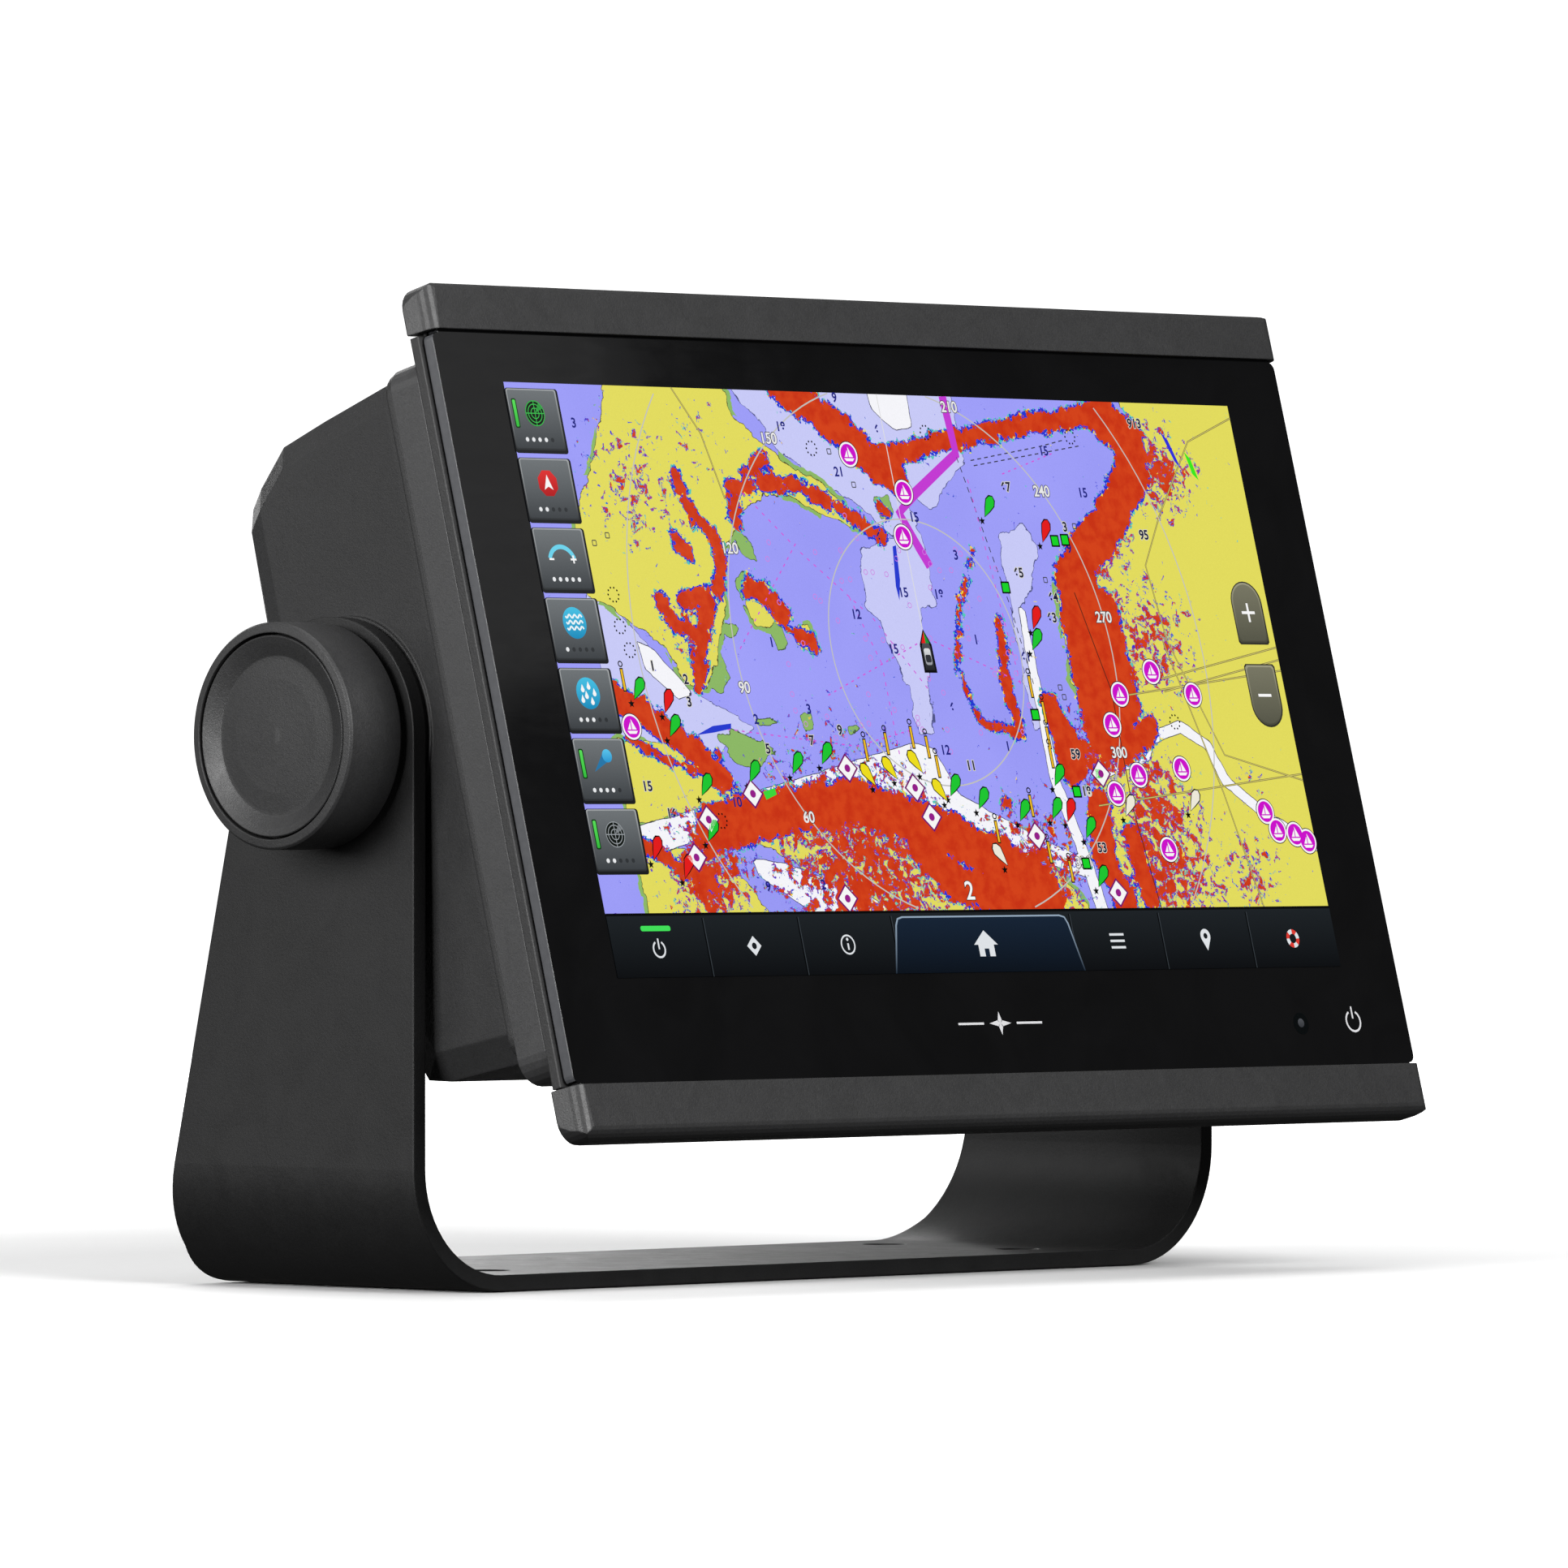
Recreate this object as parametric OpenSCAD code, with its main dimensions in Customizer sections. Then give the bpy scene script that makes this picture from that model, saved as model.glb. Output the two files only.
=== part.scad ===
// Chartplotter display on a tilt bracket.
// Frame: +Z up, the screen faces -Y, the origin is at the middle of the bracket's base, on its underside.

/* [Tilt bracket] */
// Distance between the outer faces of the two arms
bracket_w = 219; // [216:0.5:221]
// Front-to-back depth of the base
bracket_d = 70.4; // [66:0.2:76]
// Thickness of the bent sheet
sheet_t = 3; // [2.6:0.1:3.2]
// Outer radius of the two bends
bend_r = 22.7; // [18:0.1:25]
// Height of the tilt axis above the surface that the base stands on
axis_h = 101.8; // [100:0.2:112]
// How far the tilt axis sits in front of the middle of the base
axis_forward = 13.3; // [11:0.1:15]
// Radius of the rounded top of each arm
arm_end_r = 21.9; // [20:0.1:23]
// Left-to-right spacing of the base screw holes
base_hole_x = 145.2; // [120:0.2:150]
// Front-to-back spacing of the base screw holes
base_hole_y = 35.2; // [25:0.2:45]
// Radius of the base screw holes
base_hole_r = 2.6; // [2:0.1:3]

/* [Tilt axis and knobs] */
// Lean-back angle of the display as it stands
head_tilt = 15; // [0:1:30]
// Distance of the tilt axis behind the front of the glass
axis_depth = 50.3; // [49:0.1:51.5]
// Height of the tilt axis above the middle of the screen
axis_up = 2.8; // [1:0.1:4]
// Radius of the knobs
knob_r = 20.8; // [18:0.1:22]
// Distance from the outer face of an arm to the outer face of its knob
knob_reach = 15; // [13:0.1:17]
// Radius of the clamping stud
stud_r = 4; // [3.5:0.1:4.5]

/* [Display head] */
// Width of the cover glass
glass_w = 231; // [229:0.5:232]
// Height of the screen centre above the bottom edge of the glass
glass_below = 76.5; // [76.2:0.1:76.9]
// Height of the top edge of the glass above the screen centre
glass_above = 66.4; // [66:0.1:66.7]
// Thickness of the cover glass
glass_t = 2.3; // [2:0.1:2.4]
// Width of the lit picture, 9 inches across the diagonal at 16:9
screen_w = 198.7; // [180:0.1:199.5]
// Height of the lit picture
screen_h = 111.8; // [100:0.1:112]
// Half the width of the trim caps, the widest pieces of the head
cap_half_w = 117; // [116.5:0.1:118]
// Thickness of the housing walls
wall = 2.6; // [2:0.1:3]

/* [Connectors] */
// Left-to-right pitch of the connectors on the slanted rear panel
plug_pitch = 32; // [30:0.5:34]
// How far the connector collars stand out of the panel
collar_h = 9; // [7:0.5:11]

/* [Hidden] */

charcoal = [0.12, 0.12, 0.125];
sheet_black = [0.15, 0.15, 0.155];
glass_black = [0.03, 0.03, 0.035];
steel = [0.7, 0.71, 0.72];
brass = [0.78, 0.64, 0.32];
board_green = [0.08, 0.32, 0.18];
rubber_black = [0.07, 0.07, 0.07];
gold = [0.85, 0.68, 0.3];

arm_out = bracket_w / 2;
arm_in = arm_out - sheet_t;
fit = 0.05;
eps = 0.01;

// Depths behind the front of the glass, from front to back
bezel_y = 2.8;
mid_y = 4.8;
seal_y = 12.1;
lip_y = 12.4;
body_y = 14;

// Heights above and below the screen centre
cap_top = 74.4;
cap_bottom = -85.7;
cap_overlap = 0.9;
cap_front = 1.2;
cap_rim = 2.1;
slack = 0.4;
mid_top = 61.5;
mid_bottom = -72.9;
lip_bottom = -68.1;
bezel_half_w = 116.3;
tongue_half_w = 114.4;

// Upper and lower edge of the slanted connector panel: depth and height
panel_top = [72.4, -12];
panel_foot = [50.3, -62.4];
panel_mid = (panel_top + panel_foot) / 2;
panel_slope = (panel_top.y - panel_foot.y) / (panel_top.x - panel_foot.x);
panel_tilt = atan(panel_slope) - 180;
function panel_z(y) = panel_foot.y + (y - panel_foot.x) * panel_slope;

// Cross-sections of the rear housing: depth, half-width, bottom, top and height of the lower bevel.
// The sides taper to the back, and the lower edge follows the connector panel.
stations = [
    [body_y - 0.6, 105.6, -66, 61.9, 5.5],
    [25, 105.2, -65.7, 62.4, 5.5],
    [44, 103.7, -64.2, 61, 5.5],
    [50.3, 103, panel_z(50.3), 60.4, 15],
    [56.4, 102.6, panel_z(56.4), 59.8, 15],
    [64.5, 102.2, panel_z(64.5), 54.2, 15],
    [68.6, 101.2, panel_z(68.6), 51.3, 15],
    [72.4, 98.5, panel_z(72.4), -6, 1.2]
];
// Inward depth of the lower bevel, and inward depth and height of the upper one
bevel_low_x = 2.5;
bevel_high = [1.5, 4.4];

// Parts inside, from front to back
lcd_front = 2.7;
lcd_back = 4.5;
light_back = 8.6;
tray_back = 9.5;
ledge_y = 9.6;
lcd_half_w = screen_w / 2 + 3.6;
lcd_half_h = screen_h / 2 + 3;
board_y = 54;
board_t = 1.6;
board_w = 120;
board_low = -18;
board_high = 46;
sink_y = 64.5;
power_x = 99.9;
power_z = -66.7;
sensor_x = 84.6;
sensor_z = -67.1;

// Card compartment on the back
bay_x = 72;
bay_w = 36;
bay_low = -6;
bay_high = 28;
bay_face = 73;
bay_floor = 67;
door_t = 2.05;
pin_y = bay_face - door_t / 2 - 0.05;
pin_z = bay_low + 1.4;
pin_r = 0.55;
card_z = [5, 16];

// Places of the fasteners
lip_screws = [for (side = [-1, 1], z = [-58, -20, 20, 54]) [side * 110.9, z]];
board_holes = [for (side = [-1, 1], z = [board_low + 5, board_high - 5]) [side * (board_w / 2 - 5), z]];
flush_holes = [for (side = [-1, 1], z = [68.9, -80.6]) [side * 107, z]];

// Places along the connector panel: power, data bus, network a, network b, sounder
plug_x = [for (i = [-2:2]) i * plug_pitch];
plug_r = [10, 7.5, 9.5, 9.5, 12];

// ---- frames and outlines ----

// From the head's own frame (x right, y depth behind the glass, z up the screen) to the part's
module in_head() {
    translate([0, -axis_forward, axis_h])
        rotate([-head_tilt, 0, 0])
            translate([0, -axis_depth, -axis_up])
                children();
}

// On the tilt axis, with +z pointing out of one side
module on_axis(side) {
    translate([0, -axis_forward, axis_h])
        rotate([0, side * 90, 0])
            children();
}

// A front-view outline given thickness from depth y0 to depth y1
module slab(y0, y1) {
    translate([0, y1, 0])
        rotate([90, 0, 0])
            linear_extrude(y1 - y0)
                children();
}

// A side-view outline (depth, height) drawn from x0 to x1
module across(x0, x1) {
    translate([x0, 0, 0])
        rotate([90, 0, 90])
            linear_extrude(x1 - x0)
                children();
}

// A cylinder along the depth, from y0 to y1, centred on x and z
module rod(x, z, y0, y1, r, r2 = undef) {
    translate([x, y0, z])
        rotate([-90, 0, 0])
            cylinder(r1 = r, r2 = is_undef(r2) ? r : r2, h = y1 - y0, $fn = 48);
}

// On the slanted rear panel at x, with +z pointing out of it
module on_panel(x) {
    translate([x, panel_mid.x, panel_mid.y])
        rotate([panel_tilt, 0, 0])
            children();
}

function arc(cx, cz, r, a0, a1, n) =
    [for (i = [0:n]) [cx + r * cos(a0 + (a1 - a0) * i / n), cz + r * sin(a0 + (a1 - a0) * i / n)]];

// An upright outline with rounded corners: half-width, bottom, top, lower and upper corner radius
function outline(hw, low, high, r_low, r_high, n = 5) = concat(
    arc(hw - r_high, high - r_high, r_high, 0, 90, n),
    arc(-hw + r_high, high - r_high, r_high, 90, 180, n),
    arc(-hw + r_low, low + r_low, r_low, 180, 270, n),
    arc(hw - r_low, low + r_low, r_low, 270, 360, n)
);

// One with straight bevels at its upper corners, b, and at its lower corners, c
function bevelled(hw, low, high, b, c) = [
    [hw, low + c.y], [hw, high - b.y], [hw - b.x, high], [-hw + b.x, high],
    [-hw, high - b.y], [-hw, low + c.y], [-hw + c.x, low], [hw - c.x, low]
];

// A closed frame between two upright outlines
module frame(y0, y1, outer, inner) {
    difference() {
        slab(y0, y1) polygon(outer);
        slab(y0 - 1, y1 + 1) polygon(inner);
    }
}

module box(x0, x1, y0, y1, z0, z1) {
    translate([x0, y0, z0])
        cube([x1 - x0, y1 - y0, z1 - z0]);
}

// ---- tilt bracket ----

// The bent sheet seen from the front, drawn solid: half-width, height of the floor and bend radius
module bend_outline(hw, floor_z, r) {
    top = axis_h + arm_end_r + 5;
    translate([-hw, floor_z + r])
        square([2 * hw, top - floor_z - r]);
    translate([-hw + r, floor_z])
        square([2 * (hw - r), r + eps]);
    for (side = [-1, 1])
        translate([side * (hw - r), floor_z + r])
            circle(r, $fn = 96);
}

// The sheet's edges seen from the side. The rear edge is tangent to the rounded arm end,
// and keeps its slope in the developed sheet round the bend.
module arm_outline() {
    rear_slope = 0.222;
    front = -bracket_d / 2;
    rear = bracket_d / 2;
    bend_top = bend_r;
    bend_rear = rear - rear_slope * (bend_r - sheet_t / 2) * PI / 2;
    lean = atan2(bend_rear + axis_forward - arm_end_r, axis_h - bend_top);
    tangent = [-axis_forward + arm_end_r * cos(lean), axis_h + arm_end_r * sin(lean)];
    polygon([
        [front, -1], [rear, -1], [rear - 0.4, 1],
        [(rear + bend_rear) / 2 - 0.2, bend_top * 0.32],
        [bend_rear, bend_top], tangent,
        [-axis_forward, axis_h], [-axis_forward - arm_end_r, axis_h]
    ]);
    translate([-axis_forward, axis_h])
        circle(arm_end_r, $fn = 96);
}

module bail_bracket() {
    color(sheet_black)
        difference() {
            intersection() {
                translate([0, bracket_d, 0])
                    rotate([90, 0, 0])
                        linear_extrude(2 * bracket_d)
                            difference() {
                                bend_outline(arm_out, 0, bend_r);
                                bend_outline(arm_in, sheet_t, bend_r - sheet_t);
                            }
                across(-arm_out - 1, arm_out + 1) arm_outline();
            }
            on_axis(1)
                cylinder(r = stud_r + 0.6, h = 4 * arm_out, center = true, $fn = 64);
            for (sx = [-1, 1], sy = [-1, 1])
                translate([sx * base_hole_x / 2, sy * base_hole_y / 2, 0]) {
                    translate([0, 0, -1])
                        cylinder(r = base_hole_r, h = sheet_t + 2, $fn = 48);
                    translate([0, 0, sheet_t - 1.6])
                        cylinder(r1 = base_hole_r, r2 = base_hole_r + 1.7, h = 1.6 + eps, $fn = 48);
                }
        }
}

// ---- clamping knobs ----

knob_base = arm_out + 1.1;
knob_face = arm_out + knob_reach;
cap_seat_r = knob_r - 1.9;
stud_head_r = 7;
stud_tip = arm_in - 10.2;

module knob(side) {
    color(charcoal)
        on_axis(side)
            difference() {
                rotate_extrude($fn = 128)
                    polygon([
                        [0, knob_base], [knob_r - 1, knob_base], [knob_r - 0.2, knob_base + 1],
                        [knob_r, knob_base + 5], [knob_r, knob_face - 0.6],
                        [knob_r - 0.4, knob_face - 0.15], [cap_seat_r, knob_face],
                        [0, knob_face]
                    ]);
                translate([0, 0, knob_face - 3.2])
                    cylinder(r = cap_seat_r, h = 4, $fn = 96);
                translate([0, 0, knob_face - 8])
                    cylinder(r = stud_head_r, h = 8, $fn = 64);
                translate([0, 0, knob_base - 1])
                    cylinder(r = stud_r, h = 20, $fn = 64);
            }
}

// The dished disc pressed into the face of a knob
module knob_cap(side) {
    r = cap_seat_r - 0.45;
    color(charcoal)
        on_axis(side)
            rotate_extrude($fn = 128)
                polygon([
                    [0, knob_face - 3.2], [r, knob_face - 3.2], [r, knob_face - 0.4],
                    [r - 0.2, knob_face - 0.2], [r - 1.6, knob_face - 0.7], [r - 3.8, knob_face - 1.6],
                    [r - 4.4, knob_face - 1.6], [r - 8, knob_face - 1.35], [0, knob_face - 1.1]
                ]);
}

module clamp_stud(side) {
    color(steel)
        on_axis(side) {
            translate([0, 0, stud_tip])
                cylinder(r1 = stud_r - 0.8, r2 = stud_r, h = 1, $fn = 64);
            translate([0, 0, stud_tip + 1])
                cylinder(r = stud_r, h = knob_face - 8 - stud_tip - 1, $fn = 64);
            translate([0, 0, knob_face - 8])
                cylinder(r = stud_head_r, h = 4, $fn = 64);
        }
}

module clamp_washer(side) {
    color(steel)
        on_axis(side)
            translate([0, 0, arm_out + 0.2])
                difference() {
                    cylinder(r = 14, h = 0.7, $fn = 96);
                    translate([0, 0, -1])
                        cylinder(r = stud_r + fit, h = 3, $fn = 64);
                }
}

// ---- glass and display stack ----

// The glass is a little narrower where it runs under the trim caps
module cover_glass() {
    shoulder = cap_overlap + slack;
    color(glass_black)
        in_head()
            slab(0, glass_t)
                union() {
                    polygon(outline(glass_w / 2, -glass_below + shoulder, glass_above - shoulder, 1.5, 1.5, 4));
                    polygon(outline(glass_w / 2 - 1.6, -glass_below, glass_above, 0.4, 0.4, 2));
                }
}

module glass_adhesive() {
    color(rubber_black)
        in_head()
            difference() {
                frame(glass_t, bezel_y,
                    outline(glass_w / 2 - 0.8, -glass_below + 1.5, glass_above - 2, 1.2, 1.2, 3),
                    outline(105.4, -60.4, 60.4, 1, 1, 2));
                rod(sensor_x, sensor_z, 0, 8, 2.5);
            }
}

module touch_sensor() {
    color([0.2, 0.22, 0.24])
        in_head()
            slab(glass_t, lcd_front)
                polygon(outline(104.6, -59.6, 59.6, 1, 1, 2));
}

module lcd_panel() {
    color([0.1, 0.12, 0.16])
        in_head()
            box(-lcd_half_w, lcd_half_w, lcd_front, lcd_back, -lcd_half_h, lcd_half_h);
}

module lcd_backlight() {
    color([0.9, 0.9, 0.88])
        in_head()
            box(-lcd_half_w, lcd_half_w, lcd_back, light_back, -lcd_half_h, lcd_half_h);
}

module lcd_tray() {
    color(steel)
        in_head() {
            box(-lcd_half_w, lcd_half_w, light_back, tray_back, -lcd_half_h, lcd_half_h);
            for (side = [-1, 1])
                box(side * lcd_half_w - (side > 0 ? 0 : 0.8), side * lcd_half_w + (side > 0 ? 0.8 : 0),
                    5, tray_back, -lcd_half_h + 6, lcd_half_h - 6);
        }
}

module front_bezel() {
    hw = bezel_half_w;
    tw = tongue_half_w;
    low = -glass_below + cap_overlap + 0.3;
    high = glass_above - cap_overlap - 0.5;
    tongue_low = cap_bottom + cap_rim + slack;
    tongue_high = cap_top - cap_rim - slack;
    r = 4;
    color(charcoal)
        in_head()
            difference() {
                slab(bezel_y, mid_y)
                    polygon(concat(
                        [[hw, low], [hw, high], [tw, high]],
                        arc(tw - r, tongue_high - r, r, 0, 90, 4),
                        arc(-tw + r, tongue_high - r, r, 90, 180, 4),
                        [[-tw, high], [-hw, high], [-hw, low], [-tw, low]],
                        arc(-tw + r, tongue_low + r, r, 180, 270, 4),
                        arc(tw - r, tongue_low + r, r, 270, 360, 4),
                        [[tw, low]]
                    ));
                slab(0, 8)
                    polygon(outline(104.5, -59.7, 59.7, 1, 1, 2));
                for (p = flush_holes)
                    rod(p.x, p.y, 0, 8, 2.1);
                rod(sensor_x, sensor_z, 0, 8, 2.5);
            }
}

// A cap is a channel that wraps the edge of the glass and hides the flush-mount screws.
// dir is 1 for the top cap and -1 for the bottom one. edge is the edge that lies on the glass,
// far the opposite one, and round_y and round_z the depth and height of its rounding.
module trim_cap(dir, edge, far, corner_r, round_y, round_z) {
    back_y = mid_y - 0.1;
    end_r = 2.5;
    end_draft = 0.8;
    inner = far - dir * cap_rim;
    start = edge - dir;
    color(charcoal)
        in_head()
            difference() {
                intersection() {
                    slab(-5, back_y)
                        polygon(dir > 0 ? outline(cap_half_w, edge, far, 0.3, corner_r, 6)
                                        : outline(cap_half_w, far, edge, corner_r, 0.3, 6));
                    across(-cap_half_w - 1, cap_half_w + 1)
                        polygon(concat(
                            [[-cap_front + 0.1, start]],
                            [for (t = [0:18:90]) [
                                -cap_front + round_y * (1 - cos(t)),
                                far - dir * round_z * (1 - sin(t))
                            ]],
                            [[back_y - 0.3, far], [back_y, far - dir * 0.3], [back_y, start]]
                        ));
                    // Seen from above: the ends widen to the back and their upright edges are rounded
                    translate([0, 0, min(edge, far) - 1])
                        linear_extrude(abs(far - edge) + 2)
                            polygon(concat(
                                arc(-cap_half_w + end_draft + end_r, end_r - cap_front, end_r, 180, 270, 5),
                                arc(cap_half_w - end_draft - end_r, end_r - cap_front, end_r, 270, 360, 5),
                                [[cap_half_w, back_y + eps], [-cap_half_w, back_y + eps]]
                            ));
                }
                box(-tongue_half_w - slack, tongue_half_w + slack, -0.2, 6,
                    min(start, inner), max(start, inner));
            }
}

module top_trim_cap() {
    trim_cap(1, glass_above - cap_overlap, cap_top, 4.2, 1.6, 1.4);
}

module bottom_trim_cap() {
    trim_cap(-1, -glass_below + cap_overlap, cap_bottom, 4.4, 3.6, 2.3);
}

// ---- housings ----

module mid_housing() {
    color(charcoal)
        in_head()
            difference() {
                slab(mid_y, seal_y)
                    polygon(outline(bezel_half_w, mid_bottom, mid_top, 5, 4.5, 6));
                slab(mid_y - 1, ledge_y)
                    polygon(outline(104.5, -59.7, 59.7, 1, 1, 2));
                slab(mid_y, seal_y + 1)
                    polygon(outline(99, -54, 54, 2, 2, 2));
                for (p = lip_screws)
                    rod(p.x, p.y, mid_y + 1, seal_y + 1, 1.5);
                rod(power_x, power_z, mid_y - 1, mid_y + 2.2, 6);
                rod(sensor_x, sensor_z, mid_y - 1, mid_y + 2.2, 4.5);
            }
}

module housing_seal() {
    color(rubber_black)
        in_head()
            difference() {
                frame(seal_y, lip_y,
                    outline(115.4, lip_bottom + 0.6, mid_top - 0.6, 4, 4, 5),
                    outline(103, lip_bottom + 8, mid_top - 4, 2, 2, 3));
                for (p = lip_screws)
                    rod(p.x, p.y, seal_y - 1, lip_y + 1, 1.6);
            }
}

// The solid inside the stations, shrunk all round by inset
module rear_body(inset) {
    hull()
        for (i = [0:len(stations) - 1]) {
            s = stations[i];
            y = i == 0 ? s[0] - (inset > 0 ? 3 : 0) : s[0] - inset;
            slab(y, y + eps)
                polygon(bevelled(s[1] - inset, s[2] + inset, s[3] - inset, bevel_high, [bevel_low_x, s[4]]));
        }
}

module pivot_boss(side) {
    translate([0, axis_depth, axis_up])
        rotate([0, side * 90, 0]) {
            translate([0, 0, arm_in - 5.2])
                cylinder(r1 = 25.5, r2 = 22.1, h = 2.2, $fn = 96);
            translate([0, 0, arm_in - 3])
                cylinder(r = 22.1, h = 1.8, $fn = 96);
            translate([0, 0, arm_in - 16])
                cylinder(r = 10.5, h = 14, $fn = 64);
        }
}

module pivot_bore(side, r) {
    translate([0, axis_depth, axis_up])
        rotate([0, side * 90, 0])
            translate([0, 0, arm_in - 13.4])
                cylinder(r = r, h = 20, $fn = 64);
}

module rear_housing() {
    fin_count = 13;
    fin_pitch = 7;
    color(charcoal)
        in_head()
            difference() {
                union() {
                    difference() {
                        union() {
                            rear_body(0);
                            slab(lip_y, body_y)
                                polygon(outline(bezel_half_w - 0.6, lip_bottom, mid_top - 0.1, 4.5, 5, 5));
                        }
                        rear_body(wall);
                    }
                    for (side = [-1, 1])
                        pivot_boss(side);
                    // Thick wall behind the fins, and the floor and walls of the card compartment
                    box(-50, 50, sink_y, 69.2, -8, 44);
                    box(bay_x - bay_w / 2 - 2, bay_x + bay_w / 2 + 1.6, bay_floor - 2, bay_face,
                        bay_low - 2, bay_high + 2);
                    for (p = board_holes)
                        rod(p.x, p.y, board_y + board_t, 69, 3.6);
                    // Two lower ribs under the parting flange
                    for (side = [-1, 1])
                        box(side * 70 - 22, side * 70 + 22, body_y - 1, body_y + 12, -67, -64);
                }
                for (i = [0:fin_count - 1])
                    box((i - (fin_count - 1) / 2) * fin_pitch - 2, (i - (fin_count - 1) / 2) * fin_pitch + 2,
                        67.5, 80, -3, 39);
                for (side = [-1, 1])
                    pivot_bore(side, 6.5);
                for (p = lip_screws)
                    rod(p.x, p.y, lip_y - 1, body_y + 1, 1.6);
                for (p = board_holes)
                    rod(p.x, p.y, board_y, 64, 1.25);
                for (i = [0:4])
                    on_panel(plug_x[i])
                        translate([0, 0, -8])
                            cylinder(r = plug_r[i] - 1, h = 12, $fn = 64);
                // Card compartment, with room for the door's barrel, and the two card slots
                box(bay_x - bay_w / 2, bay_x + bay_w / 2, bay_floor, bay_face + 1, bay_low, bay_high);
                for (z = card_z)
                    box(bay_x - 5.8, bay_x + 5.8, bay_floor - 4, bay_floor + 1, z - 0.8, z + 0.8);
                translate([bay_x - bay_w / 2 - 1.5, pin_y, pin_z])
                    rotate([0, 90, 0])
                        cylinder(r = pin_r, h = bay_w + 3, $fn = 32);
                // Finger notch above the door
                box(bay_x - 7, bay_x + 7, bay_face - 1.6, bay_face + 1, bay_high - 1, bay_high + 4);
                rod(-80, 20, 60, 75, 4);
            }
}

module pivot_insert(side) {
    color(brass)
        in_head()
            difference() {
                translate([0, axis_depth, axis_up])
                    rotate([0, side * 90, 0])
                        translate([0, 0, arm_in - 13.4])
                            cylinder(r = 6.5, h = 12.2, $fn = 64);
                translate([0, axis_depth, axis_up])
                    rotate([0, side * 90, 0])
                        translate([0, 0, arm_in - 14])
                            cylinder(r = stud_r + fit, h = 20, $fn = 64);
            }
}

module friction_pad(side) {
    color(rubber_black)
        on_axis(side)
            translate([0, 0, arm_in - 1.2])
                difference() {
                    cylinder(r = 21.4, h = 0.9, $fn = 96);
                    translate([0, 0, -1])
                        cylinder(r = 7.5, h = 3, $fn = 64);
                }
}

module housing_screws() {
    color(steel)
        in_head()
            for (p = lip_screws) {
                rod(p.x, p.y, body_y, body_y + 1.7, 2.7, 2.3);
                rod(p.x, p.y, mid_y + 1.6, body_y + eps, 1.5);
            }
}

module vent_plug() {
    color(rubber_black)
        in_head() {
            rod(-80, 20, 66, 71.5, 4);
            rod(-80, 20, 71.2, 72.5, 6.5, 6);
        }
}

// ---- electronics ----

module main_board() {
    color(board_green)
        in_head()
            difference() {
                box(-board_w / 2, board_w / 2, board_y, board_y + board_t, board_low, board_high);
                for (p = board_holes)
                    rod(p.x, p.y, board_y - 1, board_y + 3, 1.7);
            }
}

module main_board_chips() {
    color([0.1, 0.1, 0.1])
        in_head() {
            for (i = [0:3])
                box(-30 + i * 16, -18 + i * 16, board_y - 1.1, board_y, 14, 25);
            for (i = [0:2])
                box(-58, -50, board_y - 1.4, board_y, -8 + i * 13, i * 13);
        }
}

module processor() {
    color([0.13, 0.13, 0.14])
        in_head()
            box(-11, 11, board_y + board_t, board_y + board_t + 1.8, 4, 26);
}

module thermal_pad() {
    color([0.55, 0.62, 0.7])
        in_head()
            box(-10, 10, board_y + board_t + 1.8, board_y + board_t + 2.4, 5, 25);
}

module heat_spreader() {
    color([0.75, 0.76, 0.78])
        in_head()
            box(-32, 32, board_y + board_t + 2.4, sink_y, -4, 34);
}

// Pressed-metal screens over the radio and the power supply
module shield_cans() {
    color(steel)
        in_head()
            for (x = [-46, 24])
                difference() {
                    box(x, x + 26, board_y - 4, board_y, -16, 10);
                    box(x + 0.5, x + 25.5, board_y - 3.5, board_y + 1, -15.5, 9.5);
                }
}

module board_screws() {
    color(steel)
        in_head()
            for (p = board_holes) {
                rod(p.x, p.y, board_y - 1.8, board_y, 2.6);
                rod(p.x, p.y, board_y - eps, 62, 1.25);
            }
}

// Ceramic patch facing the sky, on its own small board
module gnss_antenna() {
    color([0.82, 0.78, 0.68])
        in_head() {
            box(-14, 14, 18, 46, 50.5, 51.5);
            box(-12.5, 12.5, 19.5, 44.5, 51.5, 55.5);
            box(-2, 2, 46, board_y, 50.5, 51.5);
            box(-2, 2, board_y - 1.2, board_y, 45, 51.5);
        }
}

module wireless_antenna() {
    color([0.15, 0.2, 0.45])
        in_head()
            box(30, 50, board_y - 1, board_y, 34, 42);
}

module coin_cell() {
    color(steel)
        in_head()
            rod(-42, 33, board_y - 3.4, board_y, 10);
}

module buzzer() {
    color([0.09, 0.09, 0.09])
        in_head()
            difference() {
                rod(44, 20, board_y - 7, board_y, 6);
                rod(44, 20, board_y - 8, board_y - 4, 1.2);
            }
}

// Flat cable from the display tray back to the main board
module display_ribbon() {
    color([0.75, 0.5, 0.2])
        in_head()
            across(-15, 15)
                polygon([
                    [tray_back, -18], [tray_back + 0.4, -18], [board_y, 6.6],
                    [board_y, 7.1], [board_y - 0.3, 7.1], [tray_back, -17.4]
                ]);
}

module power_touch_board() {
    color(board_green)
        in_head()
            rod(power_x, power_z, mid_y, mid_y + 1, 5.5);
}

module light_sensor() {
    color([0.2, 0.2, 0.22])
        in_head() {
            rod(sensor_x, sensor_z, bezel_y, mid_y, 2.5);
            rod(sensor_x, sensor_z, mid_y, mid_y + 1, 4);
        }
}

// Board behind the connectors, parallel to their panel
module io_board() {
    color(board_green)
        in_head()
            on_panel(0)
                translate([-78, -12, -14])
                    cube([156, 30, 1.6]);
}

// ---- connectors ----

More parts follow.
